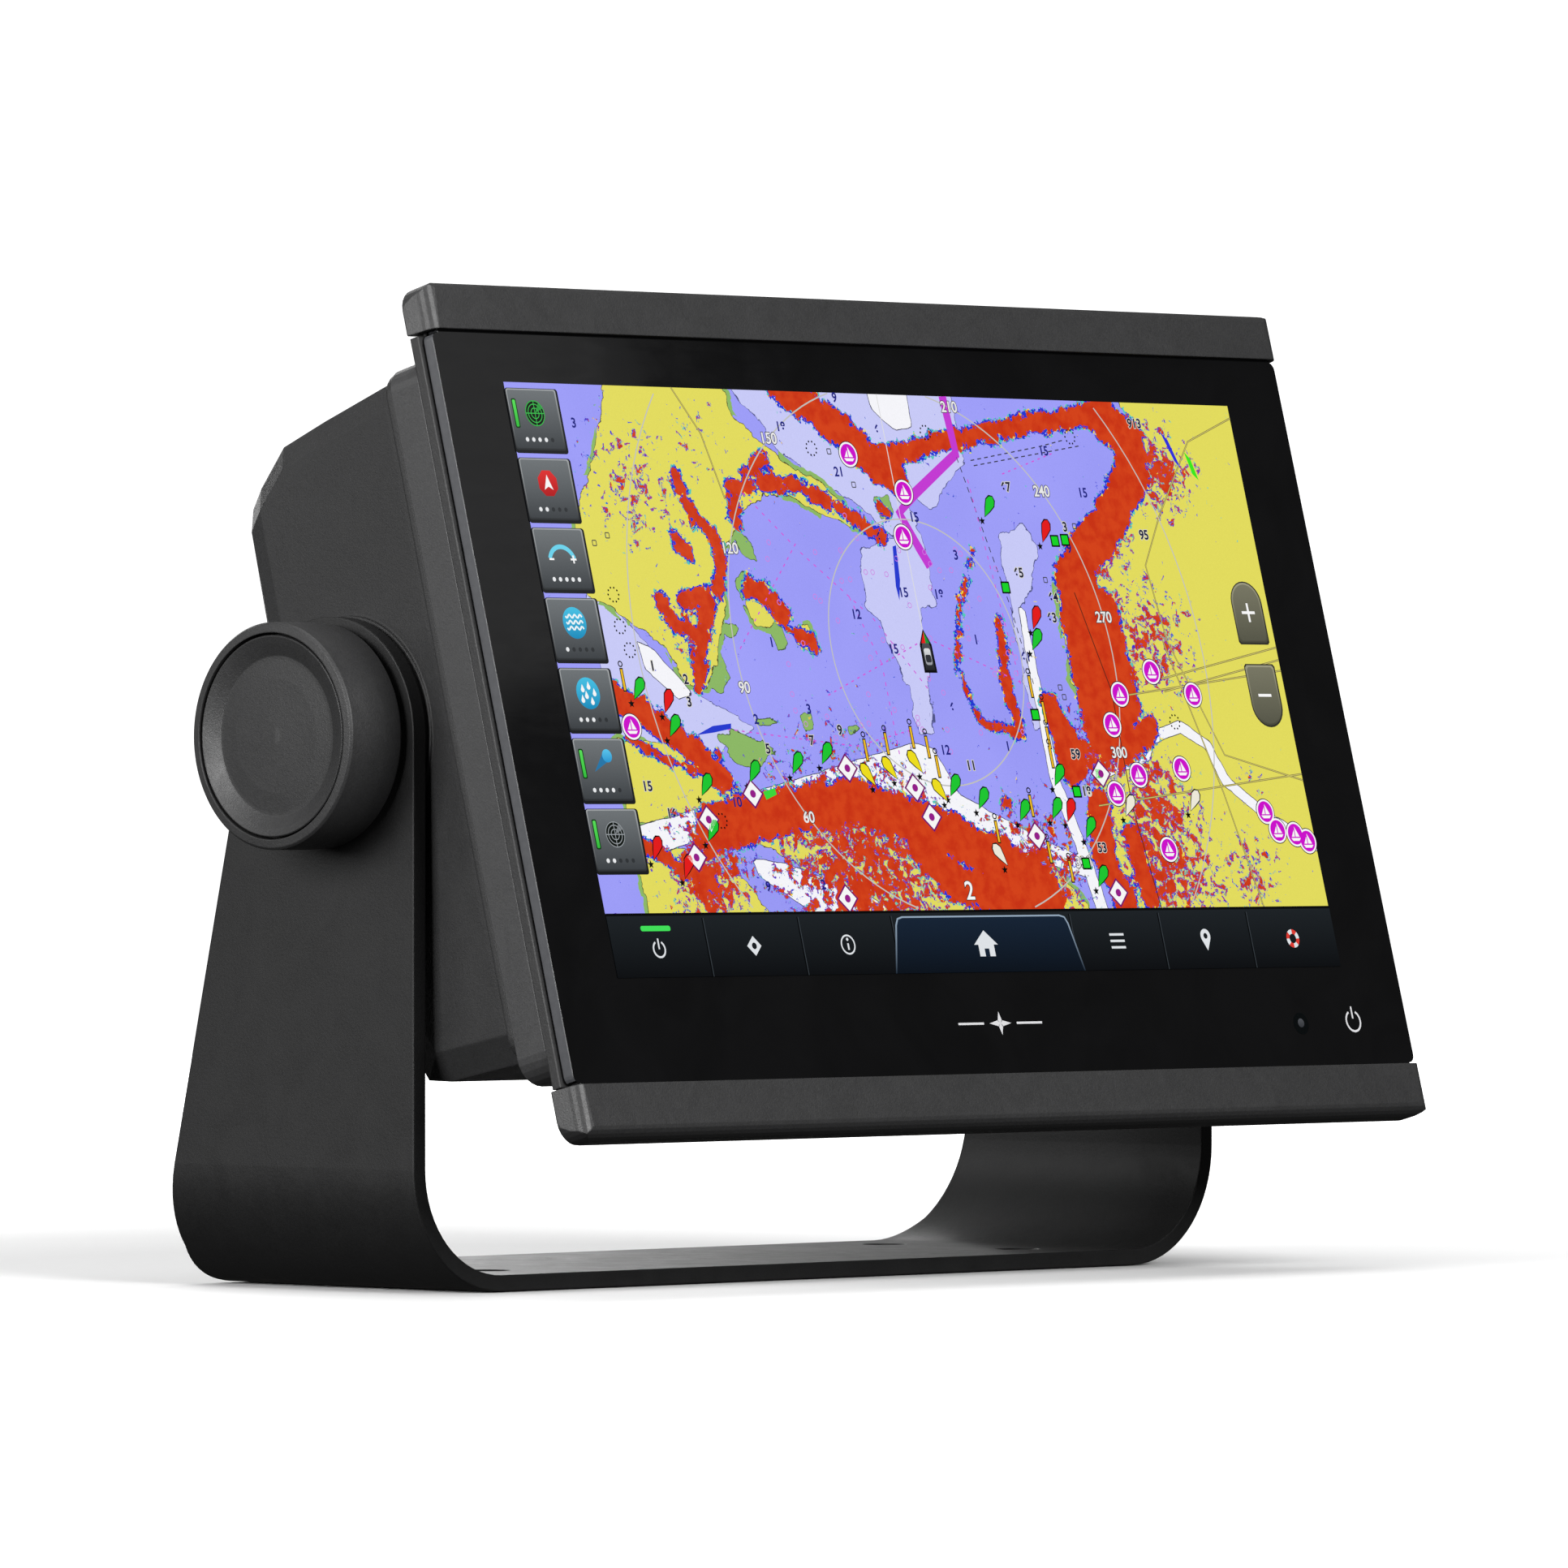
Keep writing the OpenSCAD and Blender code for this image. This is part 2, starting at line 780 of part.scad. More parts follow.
// Threaded collar with its flange outside the panel and its barrel inside it
module plug_shell(i, tint) {
    r = plug_r[i];
    color(tint)
        in_head()
            on_panel(plug_x[i])
                difference() {
                    union() {
                        translate([0, 0, 0.6])
                            cylinder(r = r + 2.2, h = 2, $fn = 64);
                        translate([0, 0, 0.6])
                            cylinder(r = r, h = collar_h - 0.6, $fn = 64);
                        translate([0, 0, -9])
                            cylinder(r = r - 1, h = 10, $fn = 64);
                        for (k = [0:2])
                            translate([0, 0, 4 + k * 1.6])
                                cylinder(r = r + 0.4, h = 0.8, $fn = 64);
                    }
                    translate([0, 0, -2])
                        cylinder(r = r - 2, h = 20, $fn = 64);
                }
}

module power_connector() {
    plug_shell(0, charcoal);
}

module data_bus_connector() {
    plug_shell(1, steel);
}

module network_connectors() {
    plug_shell(2, charcoal);
    plug_shell(3, charcoal);
}

module sounder_connector() {
    plug_shell(4, charcoal);
}

// Insulating blocks with their pins: one in the middle and the others on a ring
module connector_contacts() {
    pins = [7, 4, 8, 8, 11];
    color(gold)
        in_head()
            for (i = [0:4])
                on_panel(plug_x[i]) {
                    translate([0, 0, -2])
                        cylinder(r = plug_r[i] - 2, h = 6, $fn = 48);
                    translate([0, 0, -12.4])
                        cylinder(r = 2, h = 3.4, $fn = 24);
                    for (k = [0:pins[i] - 1])
                        rotate([0, 0, 360 * k / pins[i]])
                            translate([plug_r[i] * 0.5, 0, 3.9])
                                cylinder(r = 0.6, h = 3, $fn = 16);
                    cylinder(r = 0.6, h = 6.9, $fn = 16);
                }
}

module connector_seals() {
    color(rubber_black)
        in_head()
            for (i = [0:4])
                on_panel(plug_x[i])
                    difference() {
                        translate([0, 0, 2 * eps])
                            cylinder(r = plug_r[i] + 1.6, h = 0.6 - 2 * eps, $fn = 48);
                        translate([0, 0, -1])
                            cylinder(r = plug_r[i] - 1, h = 3, $fn = 48);
                    }
}

// Push-on cap: a cup over the collar with a finger rib across its face
module dust_cap(i) {
    r = plug_r[i];
    color(rubber_black)
        in_head()
            on_panel(plug_x[i]) {
                difference() {
                    translate([0, 0, 3])
                        cylinder(r = r + 2, h = collar_h - 0.6, $fn = 64);
                    translate([0, 0, 2])
                        cylinder(r = r + 0.75, h = collar_h - 0.7, $fn = 64);
                }
                translate([-r * 0.7, -1, collar_h + 2.3])
                    cube([r * 1.4, 2, 2.6]);
            }
}

module sounder_dust_cap() {
    dust_cap(4);
}

module network_dust_cap_a() {
    dust_cap(2);
}

module network_dust_cap_b() {
    dust_cap(3);
}

// ---- memory cards ----

module card_sockets() {
    color([0.5, 0.51, 0.53])
        in_head()
            difference() {
                box(bay_x - 9, bay_x + 9, 46, bay_floor - 2.1, card_z[0] - 3.5, card_z[1] + 3.5);
                for (z = card_z)
                    box(bay_x - 5.8, bay_x + 5.8, 50, bay_floor, z - 0.8, z + 0.8);
            }
}

module memory_card(z) {
    color([0.16, 0.16, 0.18])
        in_head()
            box(bay_x - 5.5, bay_x + 5.5, bay_floor - 14.4, bay_floor + 0.6, z - 0.5, z + 0.5);
}

module memory_card_a() {
    memory_card(card_z[0]);
}

module memory_card_b() {
    memory_card(card_z[1]);
}

module card_door() {
    gap = 0.3;
    color(charcoal)
        in_head()
            difference() {
                union() {
                    box(bay_x - bay_w / 2 + gap, bay_x + bay_w / 2 - gap,
                        bay_face - door_t - 0.05, bay_face - 0.05, pin_z, bay_high - gap);
                    translate([bay_x - bay_w / 2 + gap, pin_y, pin_z])
                        rotate([0, 90, 0])
                            cylinder(r = door_t / 2, h = bay_w - 2 * gap, $fn = 48);
                    box(bay_x - 6, bay_x + 6, bay_face - 0.9, bay_face - 0.05,
                        bay_high - 1, bay_high + 2);
                }
                translate([bay_x - bay_w / 2 - 1, pin_y, pin_z])
                    rotate([0, 90, 0])
                        cylinder(r = pin_r + fit, h = bay_w + 2, $fn = 32);
            }
}

module card_door_pin() {
    color(steel)
        in_head()
            translate([bay_x - bay_w / 2 - 1.4, pin_y, pin_z])
                rotate([0, 90, 0])
                    cylinder(r = pin_r, h = bay_w + 2.8, $fn = 32);
}

module card_door_seal() {
    back = bay_face - door_t - 0.05;
    color(rubber_black)
        in_head()
            frame(back - 0.9, back,
                [for (p = outline(bay_w / 2 - 2, bay_low + 4, bay_high - 2.5, 2, 2, 3)) p + [bay_x, 0]],
                [for (p = outline(bay_w / 2 - 3.6, bay_low + 5.6, bay_high - 4.1, 1, 1, 3)) p + [bay_x, 0]]);
}

// ---- one solid or group of like solids per node ----

bail_bracket();
knob(-1);  // left_knob
knob(1);  // right_knob
knob_cap(-1);  // left_knob_cap
knob_cap(1);  // right_knob_cap
clamp_stud(-1);  // left_clamp_stud
clamp_stud(1);  // right_clamp_stud
clamp_washer(-1);  // left_clamp_washer
clamp_washer(1);  // right_clamp_washer
cover_glass();
glass_adhesive();
touch_sensor();
lcd_panel();
lcd_backlight();
lcd_tray();
front_bezel();
top_trim_cap();
bottom_trim_cap();
mid_housing();
housing_seal();
rear_housing();
pivot_insert(-1);  // left_pivot_insert
pivot_insert(1);  // right_pivot_insert
friction_pad(-1);  // left_friction_pad
friction_pad(1);  // right_friction_pad
housing_screws();
main_board();
main_board_chips();
processor();
shield_cans();
thermal_pad();
heat_spreader();
board_screws();
gnss_antenna();
wireless_antenna();
coin_cell();
buzzer();
display_ribbon();
power_touch_board();
light_sensor();
io_board();
power_connector();
data_bus_connector();
network_connectors();
sounder_connector();
connector_contacts();
connector_seals();
sounder_dust_cap();
network_dust_cap_a();
network_dust_cap_b();
card_sockets();
memory_card_a();
memory_card_b();
card_door();
card_door_pin();
card_door_seal();
vent_plug();
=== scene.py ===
"""Looks of the chartplotter display: surfaces, picture on the screen, floor, light and camera.

Lengths are in millimetres unless a name ends in _m. The head's own frame has x to the right,
y back from the front of the glass and z up the screen, from the middle of the screen.
Places in the picture are in dots, eight to a millimetre, right and down from its top left corner.
"""

import math
import bpy
import numpy as np
from mathutils import Matrix, Vector


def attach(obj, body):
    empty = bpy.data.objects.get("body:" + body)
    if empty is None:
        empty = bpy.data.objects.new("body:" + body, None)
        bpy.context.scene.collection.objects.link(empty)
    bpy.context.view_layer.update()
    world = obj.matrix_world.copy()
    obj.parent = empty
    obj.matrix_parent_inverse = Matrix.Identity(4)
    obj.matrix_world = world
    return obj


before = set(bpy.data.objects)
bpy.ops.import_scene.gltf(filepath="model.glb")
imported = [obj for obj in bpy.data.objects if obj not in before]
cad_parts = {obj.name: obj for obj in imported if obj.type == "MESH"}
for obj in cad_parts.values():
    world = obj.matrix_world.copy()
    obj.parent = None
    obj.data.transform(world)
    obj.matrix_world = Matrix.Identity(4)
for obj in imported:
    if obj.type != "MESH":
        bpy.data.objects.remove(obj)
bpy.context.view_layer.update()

MM = 0.001
HEAD_TILT = math.radians(15)
AXIS_IN_PART = (0, -13.3, 101.8)
AXIS_IN_HEAD = (0, 50.3, 2.8)
DOTS_PER_MM = 8
PICTURE_W = 1590
PICTURE_H = 896
MAP_H = 800
CHART_GRID = 8            # dots between the points of the chart mesh
LAYER_STEP = 0.012        # from one drawn layer to the next, towards the viewer
FIRST_LAYER = 2           # drawn layers start this many steps in front of the glass

POWER_MARK = (99.9, -66.7)
SENSOR_WINDOW = (84.6, -67.1)
MIDDLE_MARK_Z = -65.8

FLOOR_GAP_M = 0.0002
SWEEP_DISC_M = 1.0
SWEEP_FLAT_M = 2.8
SWEEP_BEND_M = 0.8
SWEEP_TOP_M = 3.4
MIDDLE_OF_PART_M = (0, 0, 0.09)
WORLD_LIGHT = 0.035

CAMERA_PLACE_M = (-1.69013, -1.62884, 0.09305)
CAMERA_YAW = math.radians(-46.486)
CAMERA_LENS = 283
CAMERA_SENSOR = 36
CAMERA_REACH_M = 30

HEAD = (
    Matrix.Translation([v * MM for v in AXIS_IN_PART])
    @ Matrix.Rotation(-HEAD_TILT, 4, "X")
    @ Matrix.Translation([-v * MM for v in AXIS_IN_HEAD])
)


# ---- shader helpers ----

def srgb(red, green, blue):
    """A colour given as 0-255 display values, as the linear values that shaders take."""
    def linear(v):
        v = v / 255
        return v / 12.92 if v <= 0.04045 else ((v + 0.055) / 1.055) ** 2.4
    return (linear(red), linear(green), linear(blue), 1.0)


def scaled(colour, factor):
    return (colour[0] * factor, colour[1] * factor, colour[2] * factor, 1.0)


class Shader:
    """A material under construction. An input takes either a constant or another node's output."""

    def __init__(self, name):
        self.material = bpy.data.materials.new(name)
        self.material.use_nodes = True
        self.tree = self.material.node_tree
        self.tree.nodes.clear()
        self.surface = self.node("ShaderNodeBsdfPrincipled")
        output = self.tree.nodes.new("ShaderNodeOutputMaterial")
        self.tree.links.new(self.surface.outputs["BSDF"], output.inputs["Surface"])
        self.place = self.node("ShaderNodeTexCoord").outputs["Object"]

    def node(self, kind, inputs=None, **settings):
        made = self.tree.nodes.new(kind)
        for key, value in settings.items():
            setattr(made, key, value)
        for key, value in (inputs or {}).items():
            self.put(made.inputs[key], value)
        return made

    def put(self, socket, value):
        if isinstance(value, bpy.types.NodeSocket):
            self.tree.links.new(value, socket)
        else:
            socket.default_value = value

    def set(self, **inputs):
        """Principled inputs, with underscores for spaces."""
        for key, value in inputs.items():
            self.put(self.surface.inputs[key.replace("_", " ")], value)

    def math(self, operation, a, b=0.0):
        return self.node("ShaderNodeMath", {0: a, 1: b}, operation=operation).outputs[0]

    def spread(self, value, low, high, to_low=0.0, to_high=1.0):
        """value from low..high carried to to_low..to_high, and held at the ends."""
        inputs = {"Value": value, "From Min": low, "From Max": high, "To Min": to_low, "To Max": to_high}
        return self.node("ShaderNodeMapRange", inputs).outputs["Result"]

    def mix(self, factor, a, b):
        made = self.node("ShaderNodeMix", data_type="RGBA")
        # A Mix node lists its inputs for every data type: 0 is the factor, 6 and 7 the two colours
        for index, value in ((0, factor), (6, a), (7, b)):
            self.put(made.inputs[index], value)
        return made.outputs[2]

    def stretched(self, x, y, z):
        return self.node("ShaderNodeMapping", {"Vector": self.place, "Scale": (x, y, z)}).outputs["Vector"]

    def noise(self, size, detail=2.0, distortion=0.0, where=None, roughness=0.5):
        """Cloudy noise whose patches are about size mm across."""
        inputs = {"Vector": where or self.place, "Scale": 1 / (size * MM), "Detail": detail,
                  "Roughness": roughness, "Distortion": distortion}
        return self.node("ShaderNodeTexNoise", inputs).outputs["Fac"]

    def cells(self, size):
        """Distance to the nearest of scattered points about size mm apart."""
        inputs = {"Vector": self.place, "Scale": 1 / (size * MM)}
        return self.node("ShaderNodeTexVoronoi", inputs, feature="F1").outputs["Distance"]

    def attribute(self, name):
        return self.node("ShaderNodeAttribute", attribute_name=name)

    def relief(self, height, depth, edge=0.0):
        """A bumped normal, on edges rounded off by edge mm."""
        inputs = {"Height": height, "Distance": depth * MM, "Strength": 1.0}
        if edge:
            inputs["Normal"] = self.node("ShaderNodeBevel", {"Radius": edge * MM}, samples=6).outputs[0]
        return self.node("ShaderNodeBump", inputs).outputs["Normal"]


# ---- materials ----

def moulded(name, colour, roughness, grain, depth, edge=0.35, valley_shade_range=0.12, leather=True):
    """Moulded or coated surface: leather or sand grain with painted shade in its hollows, mottling, handling
    marks, rounded edges.
    """
    s = Shader(name)
    coarse = s.noise(grain, 3, 1.6 if leather else 0.2)
    fine = s.noise(grain * 0.35, 2, 0.5)
    mottling = s.noise(38, 3)
    scuffs = s.noise(9, 6, 0.8, roughness=0.75)
    height = s.math("ADD", s.math("MULTIPLY", coarse, 0.8), s.math("MULTIPLY", fine, 0.35))
    painted_valley_shade = s.spread(height, 0.4, 0.75, 1 - valley_shade_range, 1 + valley_shade_range)
    base = s.mix(s.spread(mottling, 0.35, 0.65), scaled(colour, 0.93), scaled(colour, 1.07))
    # painted shade: the grain's low spots are darkened to 0.72 of the colour
    base = s.mix(s.spread(painted_valley_shade, 1 - valley_shade_range, 1 + valley_shade_range), scaled(colour, 0.72), base)
    rough = s.math("ADD", s.spread(scuffs, 0.35, 0.7, roughness - 0.05, roughness + 0.06),
                   s.spread(fine, 0.3, 0.7, -0.03, 0.03))
    s.set(Base_Color=base, Roughness=rough, IOR=1.5, Normal=s.relief(height, depth, edge))
    return s.material


def rubber(name, colour):
    """Dull rubber or foam with a greyish bloom."""
    s = Shader(name)
    bloom = s.noise(6, 4, 0.4)
    base = s.mix(s.spread(bloom, 0.4, 0.7), colour, scaled(colour, 1.5))
    height = s.math("ADD", s.noise(0.35, 3), s.math("MULTIPLY", bloom, 0.4))
    s.set(Base_Color=base, Roughness=s.spread(bloom, 0.3, 0.7, 0.62, 0.8), Specular_IOR_Level=0.35,
          Normal=s.relief(height, 0.03, 0.25))
    return s.material


def metal(name, colour, roughness, grain=(1, 1, 14), edge=0.15):
    """Bare or plated metal with machining lines along one direction, dull patches and rounded edges."""
    s = Shader(name)
    lines = s.noise(0.5, 3, 0.1, where=s.stretched(*grain))
    stains = s.noise(5, 4, 0.5)
    base = s.mix(s.spread(stains, 0.35, 0.75), colour, scaled(colour, 0.72))
    rough = s.math("ADD", s.spread(stains, 0.3, 0.7, roughness - 0.06, roughness + 0.1),
                   s.spread(lines, 0.3, 0.7, -0.04, 0.05))
    s.set(Base_Color=base, Metallic=1.0, Roughness=rough, Normal=s.relief(lines, 0.012, edge))
    return s.material


def circuit_board(name, colour):
    """Solder mask over copper tracks, with rows of bright pads."""
    s = Shader(name)
    tracks = s.node("ShaderNodeTexBrick", {"Vector": s.place, "Scale": 260.0, "Mortar Size": 0.035,
                                           "Bias": 0.0, "Brick Width": 0.9, "Row Height": 0.3})
    pads = s.spread(s.cells(2.6), 0.12, 0.17, 1, 0)
    weave = s.noise(0.6, 2)
    base = s.mix(tracks.outputs["Fac"], colour, scaled(colour, 1.9))
    base = s.mix(pads, base, (0.62, 0.5, 0.22, 1))
    s.set(Base_Color=base, Metallic=pads, Roughness=s.spread(weave, 0.3, 0.7, 0.24, 0.4),
          Normal=s.relief(tracks.outputs["Fac"], 0.03, 0.1))
    return s.material


def printed_glass(name):
    """Polished glass printed black on its back, with faint wiping haze and a greyish cut edge."""
    s = Shader(name)
    haze = s.noise(22, 4, 1.2)
    wipes = s.noise(3, 3, 0.6, where=s.stretched(0.25, 1, 1))
    sides = s.node("ShaderNodeSeparateXYZ", {"Vector": s.node("ShaderNodeTexCoord").outputs["Normal"]})
    is_end = s.spread(s.math("ABSOLUTE", sides.outputs["X"]), 0.6, 0.8)
    cut = s.mix(s.noise(1.5, 3), srgb(66, 67, 70), srgb(84, 85, 88))
    print_black = s.mix(s.spread(haze, 0.3, 0.7), (0.0028, 0.0028, 0.003, 1), (0.004, 0.004, 0.0043, 1))
    smear = s.spread(s.math("MULTIPLY", haze, wipes), 0.15, 0.4, 0.05, 0.1)
    s.set(Base_Color=s.mix(is_end, print_black, cut), IOR=1.5,
          Roughness=s.math("ADD", smear, s.math("MULTIPLY", is_end, 0.25)),
          Normal=s.relief(wipes, 0.0006, 0.25))
    return s.material


def film(name, colour, roughness=0.3, size=2.0):
    """Smooth sheet or moulding with slight ripples and tint changes."""
    s = Shader(name)
    ripples = s.noise(size, 3, 0.4)
    base = s.mix(s.spread(ripples, 0.3, 0.7), scaled(colour, 0.85), scaled(colour, 1.1))
    s.set(Base_Color=base, Roughness=s.spread(ripples, 0.3, 0.7, roughness - 0.06, roughness + 0.08),
          Normal=s.relief(ripples, 0.01, 0.15))
    return s.material


def contact_block(name):
    """Gold plating, slightly tarnished."""
    s = Shader(name)
    speck = s.noise(0.8, 3)
    base = s.mix(s.spread(speck, 0.3, 0.7), (0.55, 0.4, 0.13, 1), (0.75, 0.57, 0.22, 1))
    s.set(Base_Color=base, Metallic=0.9, Roughness=s.spread(speck, 0.3, 0.7, 0.25, 0.4),
          Normal=s.relief(speck, 0.01, 0.1))
    return s.material


CHARCOAL = (0.027, 0.027, 0.0276, 1)
COAT = (0.0105, 0.0105, 0.0108, 1)


def make_materials():
    return {
        "bracket_coat": moulded("bracket_coat", COAT, 0.5, 0.55, 0.035, 0.5, 0.16, False),
        "textured_plastic": moulded("textured_plastic", CHARCOAL, 0.47, 0.75, 0.06, 0.35),
        "middle_plastic": moulded("middle_plastic", scaled(CHARCOAL, 1.8), 0.42, 0.75, 0.04, 0.3),
        "cast_housing": moulded("cast_housing", CHARCOAL, 0.5, 0.8, 0.06, 0.7),
        "zinc_steel": metal("zinc_steel", (0.6, 0.61, 0.6, 1), 0.32),
        "cover_glass": printed_glass("cover_glass"),
        "adhesive_foam": rubber("adhesive_foam", (0.012, 0.012, 0.012, 1)),
        "touch_film": film("touch_film", (0.1, 0.11, 0.12, 1), 0.18),
        "lcd_cell": film("lcd_cell", (0.03, 0.035, 0.05, 1), 0.2),
        "light_guide": film("light_guide", (0.8, 0.8, 0.78, 1), 0.35, 4),
        "black_rubber": rubber("black_rubber", (0.018, 0.018, 0.018, 1)),
        "insert_brass": metal("insert_brass", (0.7, 0.52, 0.24, 1), 0.3, (14, 1, 1)),
        "circuit_board": circuit_board("circuit_board", (0.012, 0.09, 0.04, 1)),
        "chip_black": moulded("chip_black", (0.02, 0.02, 0.021, 1), 0.55, 0.3, 0.02, 0.1, leather=False),
        "thermal_silicone": rubber("thermal_silicone", (0.3, 0.36, 0.43, 1)),
        "bare_aluminium": metal("bare_aluminium", (0.72, 0.73, 0.74, 1), 0.34, (1, 14, 1)),
        "antenna_ceramic": moulded("antenna_ceramic", (0.6, 0.54, 0.44, 1), 0.6, 0.5, 0.03, 0.2,
                                   leather=False),
        "antenna_board": circuit_board("antenna_board", (0.02, 0.04, 0.2, 1)),
        "ribbon_film": film("ribbon_film", (0.5, 0.24, 0.05, 1), 0.28),
        "connector_plastic": moulded("connector_plastic", (0.03, 0.03, 0.031, 1), 0.42, 0.4, 0.02, 0.3,
                                     leather=False),
        "plated_metal": metal("plated_metal", (0.62, 0.61, 0.59, 1), 0.25, (1, 1, 8), 0.3),
        "contact_block": contact_block("contact_block"),
        "card_plastic": moulded("card_plastic", (0.02, 0.02, 0.024, 1), 0.4, 0.3, 0.015, 0.15,
                                leather=False),
    }


def dress_cad_nodes(materials):
    """Each CAD node takes its slot's material. The middle housing is a little lighter and smoother."""
    for name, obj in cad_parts.items():
        slot = obj.data.materials[0].name.split(".")[0]
        obj.data.materials.clear()
        obj.data.materials.append(materials["middle_plastic" if name == "mid_housing" else slot])


# ---- flat drawings on the glass ----

def in_part(x, y, forward):
    """A place in the picture, so far in front of the glass, as a point of the part in metres."""
    return HEAD @ (MM * Vector((x / DOTS_PER_MM - PICTURE_W / DOTS_PER_MM / 2, -forward,
                                PICTURE_H / DOTS_PER_MM / 2 - y / DOTS_PER_MM)))


def in_picture(x_mm, z_mm):
    """A place on the glass, in mm from the middle of the screen, as a place in the picture."""
    return PICTURE_W / 2 + x_mm * DOTS_PER_MM, PICTURE_H / 2 - z_mm * DOTS_PER_MM


def circle(x, y, radius, start=0, stop=360, steps=28):
    """Points on a circle or an arc. An arc includes both its ends."""
    points = steps if stop - start >= 360 else steps + 1
    angles = [math.radians(start + (stop - start) * i / steps) for i in range(points)]
    return [(x + radius * math.cos(a), y + radius * math.sin(a)) for a in angles]


def rounded(x0, y0, x1, y1, radius, steps=5):
    """A rectangle with rounded corners."""
    corners = [(x1 - radius, y1 - radius, 0), (x0 + radius, y1 - radius, 90),
               (x0 + radius, y0 + radius, 180), (x1 - radius, y0 + radius, 270)]
    return [p for cx, cy, a in corners for p in circle(cx, cy, radius, a, a + 90, steps)]


class Drawing:
    """Flat coloured shapes lying just in front of the glass, gathered into one mesh."""

    def __init__(self):
        self.points, self.faces, self.tints = [], [], []

    def shape(self, outline, colour, layer, foot=None):
        """A filled outline. With foot given, the colour runs down to it."""
        first = len(self.points)
        ys = [y for _, y in outline]
        low, high = min(ys), max(max(ys), min(ys) + 1e-6)
        for x, y in outline:
            t = (y - low) / (high - low) if foot else 0
            self.points.append(in_part(x, y, LAYER_STEP * (layer + FIRST_LAYER)))
            ends = zip(srgb(*colour), srgb(*(foot or colour)))
            self.tints.append(tuple(a + (b - a) * t for a, b in ends))
        self.faces.append(list(range(first, len(self.points))))

    def line(self, path, width, colour, layer, closed=False):
        """A stroke along a path, in four-sided pieces that share their corners."""
        n = len(path)
        left, right = [], []
        for i, (x, y) in enumerate(path):
            ax, ay = path[(i - 1) % n] if closed or i else path[0]
            bx, by = path[(i + 1) % n] if closed or i < n - 1 else path[-1]
            length = math.hypot(bx - ax, by - ay) or 1
            nx, ny = -(by - ay) / length * width / 2, (bx - ax) / length * width / 2
            left.append((x + nx, y + ny))
            right.append((x - nx, y - ny))
        for i in range(n if closed else n - 1):
            j = (i + 1) % n
            self.shape([left[i], left[j], right[j], right[i]], colour, layer)

    def dashes(self, path, width, colour, layer, dash=9, gap=7):
        for (x0, y0), (x1, y1) in zip(path, path[1:]):
            length = math.hypot(x1 - x0, y1 - y0)
            for i in range(int(length / (dash + gap))):
                a, b = i * (dash + gap) / length, (i * (dash + gap) + dash) / length
                self.line([(x0 + (x1 - x0) * a, y0 + (y1 - y0) * a),
                           (x0 + (x1 - x0) * b, y0 + (y1 - y0) * b)], width, colour, layer)

    def disc(self, x, y, radius, colour, layer, foot=None):
        self.shape(circle(x, y, radius), colour, layer, foot)

    def ring(self, x, y, radius, width, colour, layer, start=0, stop=360, steps=40):
        whole = stop - start >= 360
        self.line(circle(x, y, radius, start, stop, steps), width, colour, layer, closed=whole)

    def number(self, value, x, y, height, colour, layer, halo=None):
        """Digits centred on x, y, with an optional halo on the layer behind them."""
        curve = bpy.data.curves.new("digits", "FONT")
        curve.body, curve.size, curve.align_x, curve.align_y = str(value), height, "CENTER", "CENTER"
        for offset, tint, depth in ((1.6, halo, layer - 1), (0.5, colour, layer)):
            if tint is None:
                continue
            curve.offset = offset
            holder = bpy.data.objects.new("digits", curve)
            mesh = bpy.data.meshes.new_from_object(holder)
            for polygon in mesh.polygons:
                corners = [mesh.vertices[i].co for i in polygon.vertices]
                self.shape([(x + p.x, y - p.y) for p in corners], tint, depth)
            bpy.data.objects.remove(holder)
            bpy.data.meshes.remove(mesh)
        bpy.data.curves.remove(curve)

    def build(self, name, material):
        mesh = bpy.data.meshes.new(name)
        mesh.from_pydata(self.points, [], self.faces)
        tint = mesh.attributes.new("tint", "FLOAT_COLOR", "POINT")
        tint.data.foreach_set("color", [c for t in self.tints for c in t])
        return placed(name, mesh, material)


def placed(name, mesh, material):
    """A mesh as a piece that rides on the head."""
    mesh.materials.append(material)
    obj = bpy.data.objects.new(name, mesh)
    bpy.context.scene.collection.objects.link(obj)
    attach(obj, "head")
    return obj


# ---- the chart ----

def polygon_distance(px, py, outline):
    """Distance to an outline, positive inside it."""
    nearest = np.full(px.shape, 1e9)
    inside = np.zeros(px.shape, bool)
    for (ax, ay), (bx, by) in zip(outline, outline[1:] + outline[:1]):
        nearest = np.minimum(nearest, segment_distance(px, py, ax, ay, bx, by))
        crosses = (ay > py) != (by > py)
        at = ax + (py - ay) * (bx - ax) / (by - ay if by != ay else 1e-9)
        inside ^= crosses & (px < at)
    return np.where(inside, nearest, -nearest)


def segment_distance(px, py, ax, ay, bx, by):
    """Distance to the straight piece from a to b."""
    dx, dy = bx - ax, by - ay
    t = np.clip(((px - ax) * dx + (py - ay) * dy) / (dx * dx + dy * dy + 1e-9), 0, 1)
    return np.hypot(px - ax - t * dx, py - ay - t * dy)


def ribbon(px, py, path, half_width):
    """Positive within half_width of a path."""
    nearest = [segment_distance(px, py, *a, *b) for a, b in zip(path, path[1:])]
    return half_width - np.minimum.reduce(nearest)


